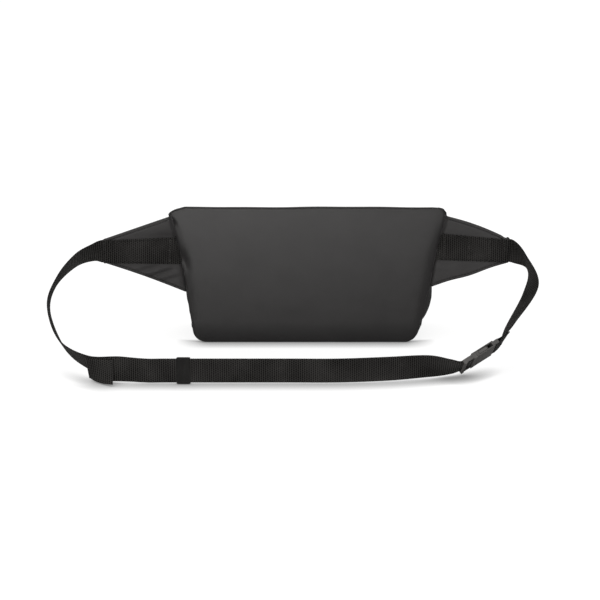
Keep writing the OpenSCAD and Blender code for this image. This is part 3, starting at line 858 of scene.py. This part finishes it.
def zigzag(d, reach, swing=1.0, step=2.3):
    """Rows for one bar tack across a band at the distance d: short stitches to and fro."""
    at = np.arange(-reach, reach - step, step)
    ways = np.resize([1, -1], len(at))
    return [(d - swing * way, d + swing * way, w, w + step) for w, way in zip(at, ways)]


LEAN = turned((0, 1, 0))
LEFT_KNOTS = [
    (wing_point(-1, WING_LEN - 14), UP), (wing_point(-1, WING_LEN + 0.5), UP),
    ((-228, -55, 106.5), (0, -0.5, 0.9)), ((-246, -64, 100), (0.1, -0.7, 0.8)),
    ((-264, -84, 83), (0.2, -0.7, 0.7)), ((-270, -107, 60), (0, -0.7, 0.6)),
    ((-253, -138, 31), (-0.2, -0.7, 0.7)), ((-223, -158, 18), (-0.1, -0.6, 0.9)),
    ((-190, RUN_Y + 1.5, RUN_Z + 1.7), UP),
    *(((x, RUN_Y, RUN_Z), UP) for x in (-165, -145, -90, -20, 30)),
    ((80, -164, 14.3), UP), ((120.8, -157, 14.8), (0, -0.2, 0.95)),
    ((143.8, -153, 13), (0.05, -0.6, 0.8)),
    (at_buckle(-21, 0, -2.5), LEAN), (at_buckle(MALE_BAR_X, 0, -WRAP_R), LEAN)]
RIGHT_KNOTS = [
    (wing_point(1, WING_LEN - 14), UP), (wing_point(1, WING_LEN + 0.5), UP),
    ((230, -70, 100), (-0.2, -0.6, 0.9)), ((232, -96, 78), (0.5, -0.6, 0.5)),
    ((209.4, -121, 48), (0.3, -0.9, 0.5)),
    (at_buckle(32, 0, -1.8), LEAN), (at_buckle(FEMALE_BAR_X, 0, -WRAP_R), LEAN)]
TAIL_COUNT, HEM_COUNT = 11 * STEPS, 6
TAIL_PEEL = np.array([0, -3.5, -1.4])    # how far the tail's end stands off the belt
HEM_FLARE = np.array([0, -5.5, -0.4])    # and the hem's free end off the tail
HEM_LEAN = np.array([0, 0.3, 0.05])


def lifts(count, last, over):
    """Distance of the returning layer: wide at the bar, closed up after "over" sections."""
    return [mix(2 * WRAP_R, last, float(ease(min(1, i / over)))) for i in range(count + 1)]


def left_strap():
    """The long strap: wing, front run, round the male half's bar, back as the tail, folded hem."""
    main = sections_of(LEFT_KNOTS)
    tail = back_along(main, -1, lifts(TAIL_COUNT, LAYER, 5))
    peel = ease((np.arange(len(tail)) - len(tail) + 13) / 12)[:, None]
    tail[:, :3] += peel * TAIL_PEEL
    tail[:, 3:6] = unit(tail[:, 3:6] + peel * HEM_LEAN)
    fold = half_turn(tail[-1], 1, STRAP_T / 2 + 0.1, 6)
    hem = back_along(tail, 1, [STRAP_T + 0.2] * (HEM_COUNT + 1))
    flare = (np.arange(1, HEM_COUNT + 1) / HEM_COUNT)[:, None]
    hem[:, :3] += flare * HEM_FLARE
    hem[:, 3:6] = unit(hem[:, 3:6] + flare * HEM_LEAN)
    whole = np.concatenate([main, half_turn(main[-1], -1, WRAP_R), tail])
    made, _ = band("strap_left_webbing", np.concatenate([whole, fold, hem]))
    piece(made, "webbing", "strap_left")
    end = lengths(whole[:, :3])[-1]
    rows = [(end - d, end - d, -11.5, 11.5) for d in (3.2, 5.4)]
    stitches("hem_stitches", thread_runs(densified(whole, 2.0), rows, -1.5 * STRAP_T - 0.25))


def right_strap():
    """The short strap: wing, round the female half's bar, and a sewn ear."""
    main = sections_of(RIGHT_KNOTS)
    ear = back_along(main, 1, lifts(STEPS + 4, STRAP_T + 0.1, STEPS))
    whole = np.concatenate([main, half_turn(main[-1], 1, WRAP_R), ear])
    made, _ = band("strap_right_webbing", whole)
    across_joint(made)
    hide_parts("strap_right")
    end = lengths(whole[:, :3])[-1]
    rows = [(end - d, end - d, -11, 11) for d in (4, 8)]
    across_joint(threads("ear_stitches", thread_runs(densified(whole, 2.0), rows, STRAP_T / 2)))


def across_joint(made):
    """Puts the object's transform into its mesh; the buckle point it works out is not used."""
    at_buckle(33, 0, 0) * MM
    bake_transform(made)


# ---- wings ----
WING_COLS, WING_MIDDLE = 52, 26
SEAM_IN = 3.0        # how far a wing's root goes into the pouch's side seam
WING_FOOT_DROP = {-1: 3.5, 1: -2.0}
WING_TIP = {-1: 72.6, 1: 68.6}
WING_TIP_SPAN = (WING_Z - 12.6, WING_Z + 12.9)
EDGE_ROWS = np.array([0, 0.5, 1.0, 1.6, 2.2, 2.8, 3.4, 4.2, 5.4, 7.0])
TOPSTITCH_ROW = 5    # the row of the grid that the topstitching follows
NARROWER = 5.0       # the wing's webbing loses this much of its width towards the tip
CLOTH_TUCK, BAND_TUCK = 3.8, 5.2       # how far a wing's cloth and webbing go back at their root


def wing_edges(s, side):
    """Lower and upper edge (u, z) of a wing at the share s of its length."""
    foot, head = np.array((-13 - SEAM_IN, 59 - WING_FOOT_DROP[side])), np.array((-SEAM_IN, 142))
    low, high = (np.array((WING_TIP[side], z)) for z in WING_TIP_SPAN)
    lower, upper = (mix(a, b, s[:, None]) for a, b in ((foot, low), (head, high)))
    if side > 0:
        upper[:, 1] += 2.6 * arch(s) + 1.3 * ease((s - 0.955) / 0.02) - 0.7 * bell(s - 0.93, 0.03)
        lower[:, 1] += 0.9 * np.sin(s * 9.0) * arch(s)
    else:
        lower[:, 1] += 1.2 * arch(s)
    return lower, upper


def wing_rows(height):
    """Shares of the height for a wing's rows, close together near both edges."""
    near = EDGE_ROWS / height
    return np.concatenate([near, np.linspace(near[-1], 1 - near[-1], WING_MIDDLE + 2)[1:-1], 1 - near[::-1]])


def past_edge(u, z):
    """Distance of a wing's point from the edge of the back panel, which lies over it."""
    return u - (half_width(z) * widening(z) - WING_ROOT[0]) / WING_COS


def tucked(u, z, out, depth):
    """Brings the root of a wing behind the edge of the back panel, into the seam."""
    past = past_edge(u, z)
    squeezed = np.where(past < -2, -4 + 2 * np.exp(np.minimum(past + 2, 0) / 4), past)
    return u + squeezed - past, out - depth * (1 - ease((squeezed + 2) / 3.5))


def webbing_z(side, u):
    """Height of the middle of the wing's webbing."""
    return mix(103.6, 107.2, u / WING_LEN) if side < 0 else mix(107.8, 107.7, u / WING_LEN)


def wing_folds(side, u, z):
    """Soft folds of the slack cloth above and below the webbing."""
    wide = (WING_STRAP_W - NARROWER * u / WING_LEN) / 2
    under, over = webbing_z(side, u) - wide - z, z - webbing_z(side, u) - wide
    free = ease(np.maximum(under, over) / 5)
    if side < 0:
        drawn = np.sin((under - 0.34 * u) / 1.55 + 0.6) * hill(u, under, 14, 9, 20, 8)
        root = 1.3 * bell(past_edge(u, z) - 6, 5)
        puffed = 2.6 * arch(over / 21) * bell(u - 6, 22)
        return free * np.where(under > 0, 2.6 * drawn + root, puffed)
    groove = bell(under - 2.2 - 2.6 * arch((u + 9) / 22), 1.1) * bell(u + 1, 11)
    slack = 0.5 * np.sin((u * 0.8 + under * 0.5) / 8.0 + 1.3)
    return np.where(under > 0, 0.6 * ease(under / 3) - 1.3 * groove, 0) + free * slack


def wing_shape(side):
    """The wing's mid surface (u, z, out) and its half thickness."""
    even = np.linspace(0, 1, WING_COLS)
    lower, upper = wing_edges(mix(even, (1 - np.cos(even * math.pi)) / 2, 0.6), side)
    height = upper[:, 1] - lower[:, 1]
    t = np.stack([wing_rows(h) for h in height], 1)
    u = mix(lower[:, 0], upper[:, 0], t)
    z = mix(lower[:, 1], upper[:, 1], t)
    from_edge = np.minimum(t, 1 - t) * height
    half = (WING_T / 2 - 0.1) * (1 - 0.5 * np.exp(-from_edge / 0.8))
    half -= 1.0 * bell(from_edge - EDGE_ROWS[TOPSTITCH_ROW], 0.6)
    half *= mix(0.5, 1.0, ease((past_edge(u, z) + 2) / 5))
    out = wing_folds(side, u, z) * ease(from_edge / 4.0)
    out += ripple(stacked(u, z, 50 * side), 17.0) * 0.2
    u, out = tucked(u, z, out, CLOTH_TUCK)
    return u, z, out, half


def wing(side, name):
    """Two layers of cloth with a hem all round and an open pocket in the tip."""
    u, z, out, half = wing_shape(side)
    outer = wing_point(side, u, z, out + half)
    inner = wing_point(side, u, z, out - half)
    made = slab(f"wing_{name}_cloth", outer, inner, WING, stacked(u, z), bulge=0.25)
    cut_away(made, wing_pocket(side))
    piece(made, "wing_fabric", f"wing_{name}")
    wing_topstitching(side, name, u, z, out, half)


def wing_topstitching(side, name, u, z, out, half):
    """A row of thread along both long edges of a wing, on both faces, and one across its tip."""
    normal = wing_face(side)
    runs = []
    for front in (1, -1):
        for row in (TOPSTITCH_ROW, -1 - TOPSTITCH_ROW):
            line = wing_point(side, *(grid[row, 8:] for grid in (u, z, out)))
            line += normal * front * (half[row, 8:, None] + 0.02)
            runs.append((line, front * normal))
    tip = wing_point(side, np.full(20, WING_TIP[side] - 3.4), np.linspace(WING_Z - 11, WING_Z + 11, 20),
                     -WING_T / 2 + 0.05)
    runs.append((tip, -normal))
    stitches(f"wing_{name}_stitches", runs, material=DARK_THREAD)


def wing_pocket(side):
    """The slit between the wing's two layers that the belt is sewn into."""
    half_h, half_t = STRAP_W / 2 + 0.3, (STRAP_T + 0.5) / 2
    u0, u1 = WING_LEN - 16, WING_LEN + 4
    points = [wing_point(side, u, WING_Z + dz * half_h, dt * half_t)
              for u in (u0, u1) for dz in (-1, 1) for dt in (-1, 1)]
    faces = [[0, 1, 3, 2], [4, 5, 7, 6], [0, 1, 5, 4], [2, 3, 7, 6], [0, 2, 6, 4], [1, 3, 7, 5]]
    return new_object("pocket_cutter", points, faces, WING, smooth=False)


def wing_band(side, name):
    """The wider webbing sewn flat on the wing, and its rows of stitches."""
    start = -12.0
    u = np.linspace(start, WING_TIP[side] + 0.2, 30)
    middle = wing_point(side, u, webbing_z(side, u), WING_T / 2 + STRAP_T / 2)
    t = unit(np.gradient(middle, axis=0))
    face = np.tile(wing_face(side), (len(u), 1))
    lean = unit(np.cross(face, t))
    sections = np.concatenate([middle, lean, face], 1)
    made, fine = band(f"wing_webbing_{name}_band", sections, WING_STRAP_W, narrower=NARROWER)
    tuck_in(made, side)
    piece(made, "webbing", f"wing_webbing_{name}")
    end = u[-1] - start
    near = WING_STRAP_W / 2 - 1.6
    far = near - NARROWER / 2
    at_edge = [(d, end - 2, w * mix(near, far, d / end), w * far) for w, d in ((1, 14.0), (-1, 8.0))]
    tacks = {-1: (14.5, 79.3), 1: (12.3, 38.8, 60.6, 76.7)}[side]
    runs = thread_runs(fine[::4], at_edge, STRAP_T / 2 + 0.02)
    stitches(f"wing_webbing_{name}_stitches", runs, material=DARK_THREAD)
    rows = [row for d in tacks for row in zigzag(d, mix(near, far, d / end))]
    runs = thread_runs(fine[::4], rows, STRAP_T / 2 + 0.1)
    stitches(f"wing_webbing_{name}_tacks", runs, length=2.1, radius=0.5)


def tuck_in(made, side):
    """Turns the root end of a wing's webbing in behind the edge of the back panel."""
    points = np.empty(len(made.data.vertices) * 3)
    made.data.vertices.foreach_get("co", points)
    x, y, z = points.reshape(-1, 3).T / MM
    x, y = side * x - WING_ROOT[0], WING_ROOT[1] - y
    u = x * WING_COS + y * WING_SIN
    out = y * WING_COS - x * WING_SIN
    u, out = tucked(u, z, out, BAND_TUCK)
    made.data.vertices.foreach_set("co", (wing_point(side, u, z, out) * MM).ravel())
    made.data.update()


# ---- keeper ----
def keeper():
    """A woven elastic sleeve round both layers of the front run."""
    wall, room = 0.95, 0.5
    half = np.array([(LAYER + STRAP_T + room) / 2, (STRAP_W + room) / 2])
    centre = np.array([KEEPER_X, RUN_Y - LAYER / 2, RUN_Z])
    turn = np.linspace(0, 2 * math.pi, 97)[:-1]
    ring = stacked(squared(np.cos(turn), 0.16), squared(np.sin(turn), 0.16))
    along = np.linspace(-KEEPER_L / 2, KEEPER_L / 2, 57)
    worn_ends = 1 - 0.5 * abs(2 * along / KEEPER_L)**12
    outer = wall * worn_ends + 0.07 * np.cos(2 * math.pi * along / ELASTIC_RIB)
    cuts = [*zip(along, outer), *((x, 0.0) for x in along[::-1])]
    points, uv = [], []
    around_at = lengths(ring * half)
    for x, out in cuts:
        points.append(stacked(centre[0] + x, *(centre[1:] + ring * (half + out)).T))
        uv.append(stacked(x, around_at))
    faces = tube_faces(len(cuts), len(turn), joined=True)
    made = new_object("strap_keeper_sleeve", np.concatenate(points), faces, ELASTIC, np.concatenate(uv))
    piece(made, "elastic", "strap_keeper", body="keeper")


# ---- hard parts that keep their CAD shape ----
def dressed(node, material, width, segments=2):
    """Gives a CAD piece its material, and rounds its sharp edges."""
    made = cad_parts[node]
    made.data.materials.clear()
    made.data.materials.append(material)
    made.modifiers.new("weld", "WELD").merge_threshold = 0.01 * MM
    edge = made.modifiers.new("edges", "BEVEL")
    edge.width, edge.segments, edge.limit_method = width * MM, segments, "ANGLE"
    edge.angle_limit = math.radians(35)
    edge.harden_normals = True


def hard_parts():
    for node in ("buckle_male", "buckle_female", "buckle_arm_upper", "buckle_arm_lower"):
        dressed(node, PLASTIC, 0.4, 3)
    for node in ("zip_slider", "zip_pull", "zip_stops"):
        dressed(node, LACQUER, 0.22)
    for node in ("drain_eyelets", "drain_washers"):
        dressed(node, BRASS, 0.25)


# ---- zip ----
TOOTH = 1.6          # distance between two teeth of one row
TAB_END = 146.4      # where the tabs at the zip's ends stop, in the side seams


def slope_sheet(name, node, across, down, h, thick):
    """A zip tape at the height h over the top slope, very slightly wavy."""
    x, s = np.meshgrid(np.linspace(*across, int((across[1] - across[0]) / 2.5)), np.linspace(*down, 7))
    lift = 0.08 * np.sin(x / 11.0) * np.sin(s)
    made = slab(name, on_slope(x, s, h + lift), on_slope(x, s, h - thick + lift), TAPE, stacked(x, s))
    piece(made, "zip_tape", node)


def zip_tapes():
    reach = ZIP_HALF + 8
    for name, s0, s1 in (("rear", ZIP_S - 10.5, ZIP_S - 0.6), ("front", ZIP_S + 0.6, ZIP_S + 10.5)):
        slope_sheet(f"zip_tape_{name}_cloth", f"zip_tape_{name}", (-reach, reach), (s0, s1), -1.4, 0.8)
    for side, name in SIDES:
        x, s = np.meshgrid(np.linspace(side * (ZIP_HALF + 0.5), side * TAB_END, 12),
                           np.linspace(ZIP_UPPER - 0.6, ZIP_LOWER + 0.6, 8))
        made = slab(f"zip_end_tab_{name}", on_slope(x, s, 0.35), on_slope(x, s, -0.9), SHELL)
        piece(made, "shell_fabric", *(["zip_end_tabs"] if side < 0 else []))


def coil(name, node, side, shift):
    """One row of coil teeth: bent loops from the tape to the middle."""
    centres = np.arange(-ZIP_HALF + 2, ZIP_HALF - 2, TOOTH) + shift
    sides = 8
    profile = [(3.1, 0.25), (2.9, 0.6), (2.0, 0.62), (0.8, 0.62), (0.0, 0.7), (-0.45, 0.55), (-0.6, 0.2)]
    points, faces, uv = [], [], []
    for x in centres:
        first = len(points)
        for s, size in profile:
            for turn in turns(sides):
                points.append(on_slope(x + 0.52 * size * math.cos(turn), ZIP_S + side * s,
                                       -0.45 + 1.4 * size * math.sin(turn) * (0.9 if s > 0 else 0.8)))
                uv.append((x, s))
        faces += tube_faces(len(profile), sides, first)
    piece(new_object(name, points, faces, TEETH, uv), "zip_teeth", node)


def zip_seams():
    """One row of topstitching on the upper side of the zip, two on the lower side, and one across each end.
    """
    runs = []
    out = on_slope(0, 0, 1.0) - on_slope(0, 0, 0.0)
    for s in (ZIP_UPPER - 2.2, ZIP_LOWER + 2.2, ZIP_LOWER + 5.0):
        x = np.linspace(-140, 140, 60)
        runs.append((on_slope(x, s, 0.12), out))
    for side in (-1, 1):
        s = np.linspace(ZIP_UPPER + 0.5, ZIP_LOWER - 0.5, 12)
        runs.append((on_slope(side * (ZIP_HALF + 2.5), s, 0.5), out))
    stitches("zip_stitches", runs)


# ---- rope ----
def tube(name, path, radius, *nodes, material=CORD, slot="rope_cord", sides=12, braid=0.05,
         closed=False, lay=7.0):
    """A braided line along a path of points."""
    path = np.asarray(path, float)
    t = unit(np.roll(path, -1, 0) - np.roll(path, 1, 0)) if closed else unit(np.gradient(path, axis=0))
    at = lengths(path)
    side = np.cross(t[0], (0.1, 0.2, 1.0))
    frames = []
    for row in t:
        side = unit(side - row * (side @ row))
        frames.append((side, np.cross(row, side)))
    u, v = (np.array([f[k] for f in frames]) for k in (0, 1))
    a = turns(sides)
    twist = 2 * math.pi * at[:, None] / lay
    bumps = np.maximum(np.cos(3 * a + twist), np.cos(3 * a - twist))
    r = radius * (1 - braid + braid * bumps)
    points = path[:, None] + (r * np.cos(a))[..., None] * u[:, None] + (r * np.sin(a))[..., None] * v[:, None]
    faces = tube_faces(len(path), sides, joined=closed)
    uv = stacked(at[:, None], radius * (a - math.pi)).reshape(-1, 2)
    made = new_object(name, points.reshape(-1, 3), faces, material, uv)
    piece(made, slot, *nodes)


def rope_spot(k):
    """Row and column place (y, z) of run k of the flaked rope."""
    low = k < LOW_RUNS
    cols = LOW_COLS if low else HIGH_COLS
    inside = k if low else k - LOW_RUNS
    row = (0 if low else LOW_RUNS // LOW_COLS) + inside // cols
    col = inside % cols if row % 2 == 0 else cols - 1 - inside % cols
    return np.array([FIRST_RUN[0] + col * ROPE_PITCH, FIRST_RUN[1] + row * ROPE_PITCH])


def rope_path(cell=3.4):
    path = []
    for k in range(ROPE_RUNS):
        way = 1 if k % 2 == 0 else -1
        y, z = rope_spot(k)
        x = np.arange(-RUN_HALF, RUN_HALF + 0.1, cell) * way
        path.append(stacked(x, y, z))
        if k + 1 < ROPE_RUNS:
            here, there = rope_spot(k), rope_spot(k + 1)
            middle, radius = (here + there) / 2, np.linalg.norm(there - here) / 2
            a = np.radians(np.arange(18, 180, 24))[:, None]
            yz = middle - (there - here) / 2 * np.cos(a)
            path.append(np.concatenate([way * (RUN_HALF + radius * np.sin(a)), yz], 1))
    return np.concatenate(path)


def rope():
    tube("rope_line", rope_path(), ROPE_R - 0.05, "rope", sides=10, lay=13.6)
    start = np.array([-RUN_HALF, *FIRST_RUN])
    x = np.linspace(0.5, 13, 10)[:, None]
    tube("rope_inner_end", start - x * np.array([1, 0, 0]), 2.9)
    a = np.linspace(0, 2 * math.pi, 73)[:-1]
    reach = 1 + 0.5 * np.cos(3 * a)
    knot = stacked(0.8 * np.sin(3 * a), reach * np.cos(2 * a), reach * np.sin(2 * a)) * 2.6
    tube("rope_stopper_knot", start + np.array([-14, 0, 3]) + knot, 1.9, closed=True)
    eye = EYE_AT + EYE_R * stacked(np.cos(a), 0, np.sin(a))
    tube("rope_end_eye_line", eye, 3.0, "rope_end_eye", closed=True, lay=11.5)
    square = stacked(0, squared(np.cos(a), 0.4), squared(np.sin(a), 0.4))
    tube("rope_anchor_cord", start + np.array([-5, 0, 0]) + square * 4.75, 0.75, "rope_anchor_loop",
         material=WEBBING, slot="webbing", closed=True, lay=2.0)
    rope_sleeve()


def rope_sleeve():
    """A shrunk sleeve over the eye's joint, waisted and with soft ends."""
    half = [(3.5, 3.85), (3.5, 4.45), (3.0, 4.65), (1.2, 4.5)]
    profile = [(-x, r) for x, r in half] + [(0, 4.4)] + half[::-1]
    sides = 40
    points = [EYE_AT + (x, r * math.cos(a), r * math.sin(a) - EYE_R)
              for x, r in profile for a in turns(sides)]
    made = new_object("rope_end_sleeve_skin", points, tube_faces(len(profile), sides, joined=True), SLEEVE)
    piece(made, "sleeve_plastic", "rope_end_sleeve")


# ---- stage: its lengths are in metres ----
FLOOR_WHITE, LIGHT_WHITE = 0.9, (1.0, 0.985, 0.97)
FLOOR_GLOW, GLOW_SHARE = 1.2, 0.7      # the paper glows where the camera sees it, dimmed by a painted contact shadow
CONTACT = 0.022       # reach of the soft shadow in front of things that stand on the paper
BEHIND = (-0.036, -0.024)              # where the paper turns shadowless, behind the panel's foot
FLOOR_IN_SHEEN = 0.3  # how much of the paper and the room shows in reflections
ROOM_LIGHT, BACKDROP_LIGHT = 0.45, 0.6


def ray_is(tree, kind):
    return add(tree, "LightPath").outputs[f"Is {kind} Ray"]


def floor():
    """Seamless white paper. Where the camera sees it, it also glows, dimmed by a painted contact shadow;
    reflections see a darker copy of it, painted shade that stands in for flags round the set.
    """
    material, tree = blank("floor_paper")
    spot = add(tree, "TexCoord").outputs["Object"]
    grain = cloud(tree, spot, 40.0, 2)
    white = shade(tree, (FLOOR_WHITE,) * 3, (FLOOR_WHITE + 0.02,) * 3, grain)
    paper = add(tree, "BsdfDiffuse", {"Color": white})
    # painted contact shadow: ambient occlusion dims the camera-seen glow in front of things, and the mask
    # behind the panel's foot keeps it away there
    open_share = add(tree, "AmbientOcclusion", {"Distance": CONTACT, "Normal": add(
        tree, "CombineXYZ", {0: 0.0, 1: 0.45, 2: 0.89}).outputs[0]}, samples=24).outputs["AO"]
    y = add(tree, "SeparateXYZ", {0: spot}).outputs["Y"]
    behind = span(tree, y, 0.0, 1.0, *BEHIND)
    share_left_by_painted_shadow = calc(tree, "MAXIMUM", calc(tree, "POWER", open_share, 1.22), behind)
    glow_with_painted_shadow = add(tree, "Emission", {"Strength": calc(tree, "MULTIPLY", share_left_by_painted_shadow, FLOOR_GLOW)})
    share = calc(tree, "MULTIPLY", ray_is(tree, "Camera"), GLOW_SHARE)
    seen = add(tree, "MixShader", {0: share, 1: paper.outputs[0], 2: glow_with_painted_shadow.outputs[0]})
    dim = add(tree, "BsdfDiffuse", {"Color": (FLOOR_WHITE * FLOOR_IN_SHEEN,) * 3 + (1,)})
    both = add(tree, "MixShader", {0: ray_is(tree, "Glossy"), 1: seen.outputs[0], 2: dim.outputs[0]})
    add(tree, "OutputMaterial", {"Surface": both.outputs[0]})
    mesh = bpy.data.meshes.new("floor")
    corners = [(x * 8, y * 8, -0.0004) for x, y in ((-1, -1), (1, -1), (1, 1), (-1, 1))]
    mesh.from_pydata(corners, [], [[0, 1, 2, 3]])
    mesh.materials.append(material)
    placed("floor", mesh)


def softbox(name, place, target, size, power):
    light = bpy.data.lights.new(name, "AREA")
    light.shape, light.size, light.size_y = "RECTANGLE", size[0], size[1]
    light.energy, light.color = power, LIGHT_WHITE
    made = placed(name, light)
    made.location = place
    made.rotation_euler = (Vector(target) - Vector(place)).to_track_quat("-Z", "Y").to_euler()


def daylight(name, azimuth, elevation, strength, spread):
    """A wide even light: azimuth 0 comes from the camera's side, 90 from the right."""
    light = bpy.data.lights.new(name, "SUN")
    light.energy, light.angle, light.color = strength, math.radians(spread), LIGHT_WHITE
    a, e = math.radians(azimuth), math.radians(elevation)
    came_from = Vector((math.sin(a) * math.cos(e), -math.cos(a) * math.cos(e), math.sin(e)))
    placed(name, light).rotation_euler = came_from.to_track_quat("Z", "Y").to_euler()


def studio():
    floor()
    daylight("even_top", -15, 74, 0.92, 50)
    softbox("front", (-0.22, -1.6, 0.21), (-0.02, 0, 0.08), (0.8, 0.3), 8.1)
    softbox("rim", (0.3, 1.3, 1.4), (0, 0, 0.08), (1.4, 0.8), 5)
    world = bpy.data.worlds.new("studio")
    world.use_nodes = True
    tree = world.node_tree
    sky = tree.nodes["Background"]
    level = calc(tree, "MULTIPLY_ADD", ray_is(tree, "Glossy"), (FLOOR_IN_SHEEN - 1) * ROOM_LIGHT, ROOM_LIGHT)
    level = calc(tree, "MULTIPLY_ADD", ray_is(tree, "Camera"), BACKDROP_LIGHT, level)
    tree.links.new(level, sky.inputs["Strength"])
    sky.inputs["Color"].default_value = (1, 1, 1, 1)
    scene = bpy.context.scene
    scene.world = world
    scene.view_settings.view_transform = "Standard"


def camera():
    """The photograph's view: 17 degrees above the floor, 2 m away."""
    lens = bpy.data.cameras.new("view")
    lens.lens, lens.sensor_width = 110.4, 36
    made = placed("view", lens)
    down = math.radians(17)
    aim = Vector((-0.0087, -0.0217, 0.0437))
    made.location = aim - 2.0 * Vector((0, math.cos(down), -math.sin(down)))
    made.rotation_euler = (math.radians(90) - down, 0, 0)
    bpy.context.scene.camera = made


left_strap()
right_strap()
for side, name in SIDES:
    wing(side, name)
    wing_band(side, name)
keeper()
hard_parts()
zip_tapes()
coil("zip_chain_rear_coil", "zip_chain_rear", -1, 0.0)
coil("zip_chain_front_coil", "zip_chain_front", 1, TOOTH / 2)
zip_seams()
rope()
studio()
camera()
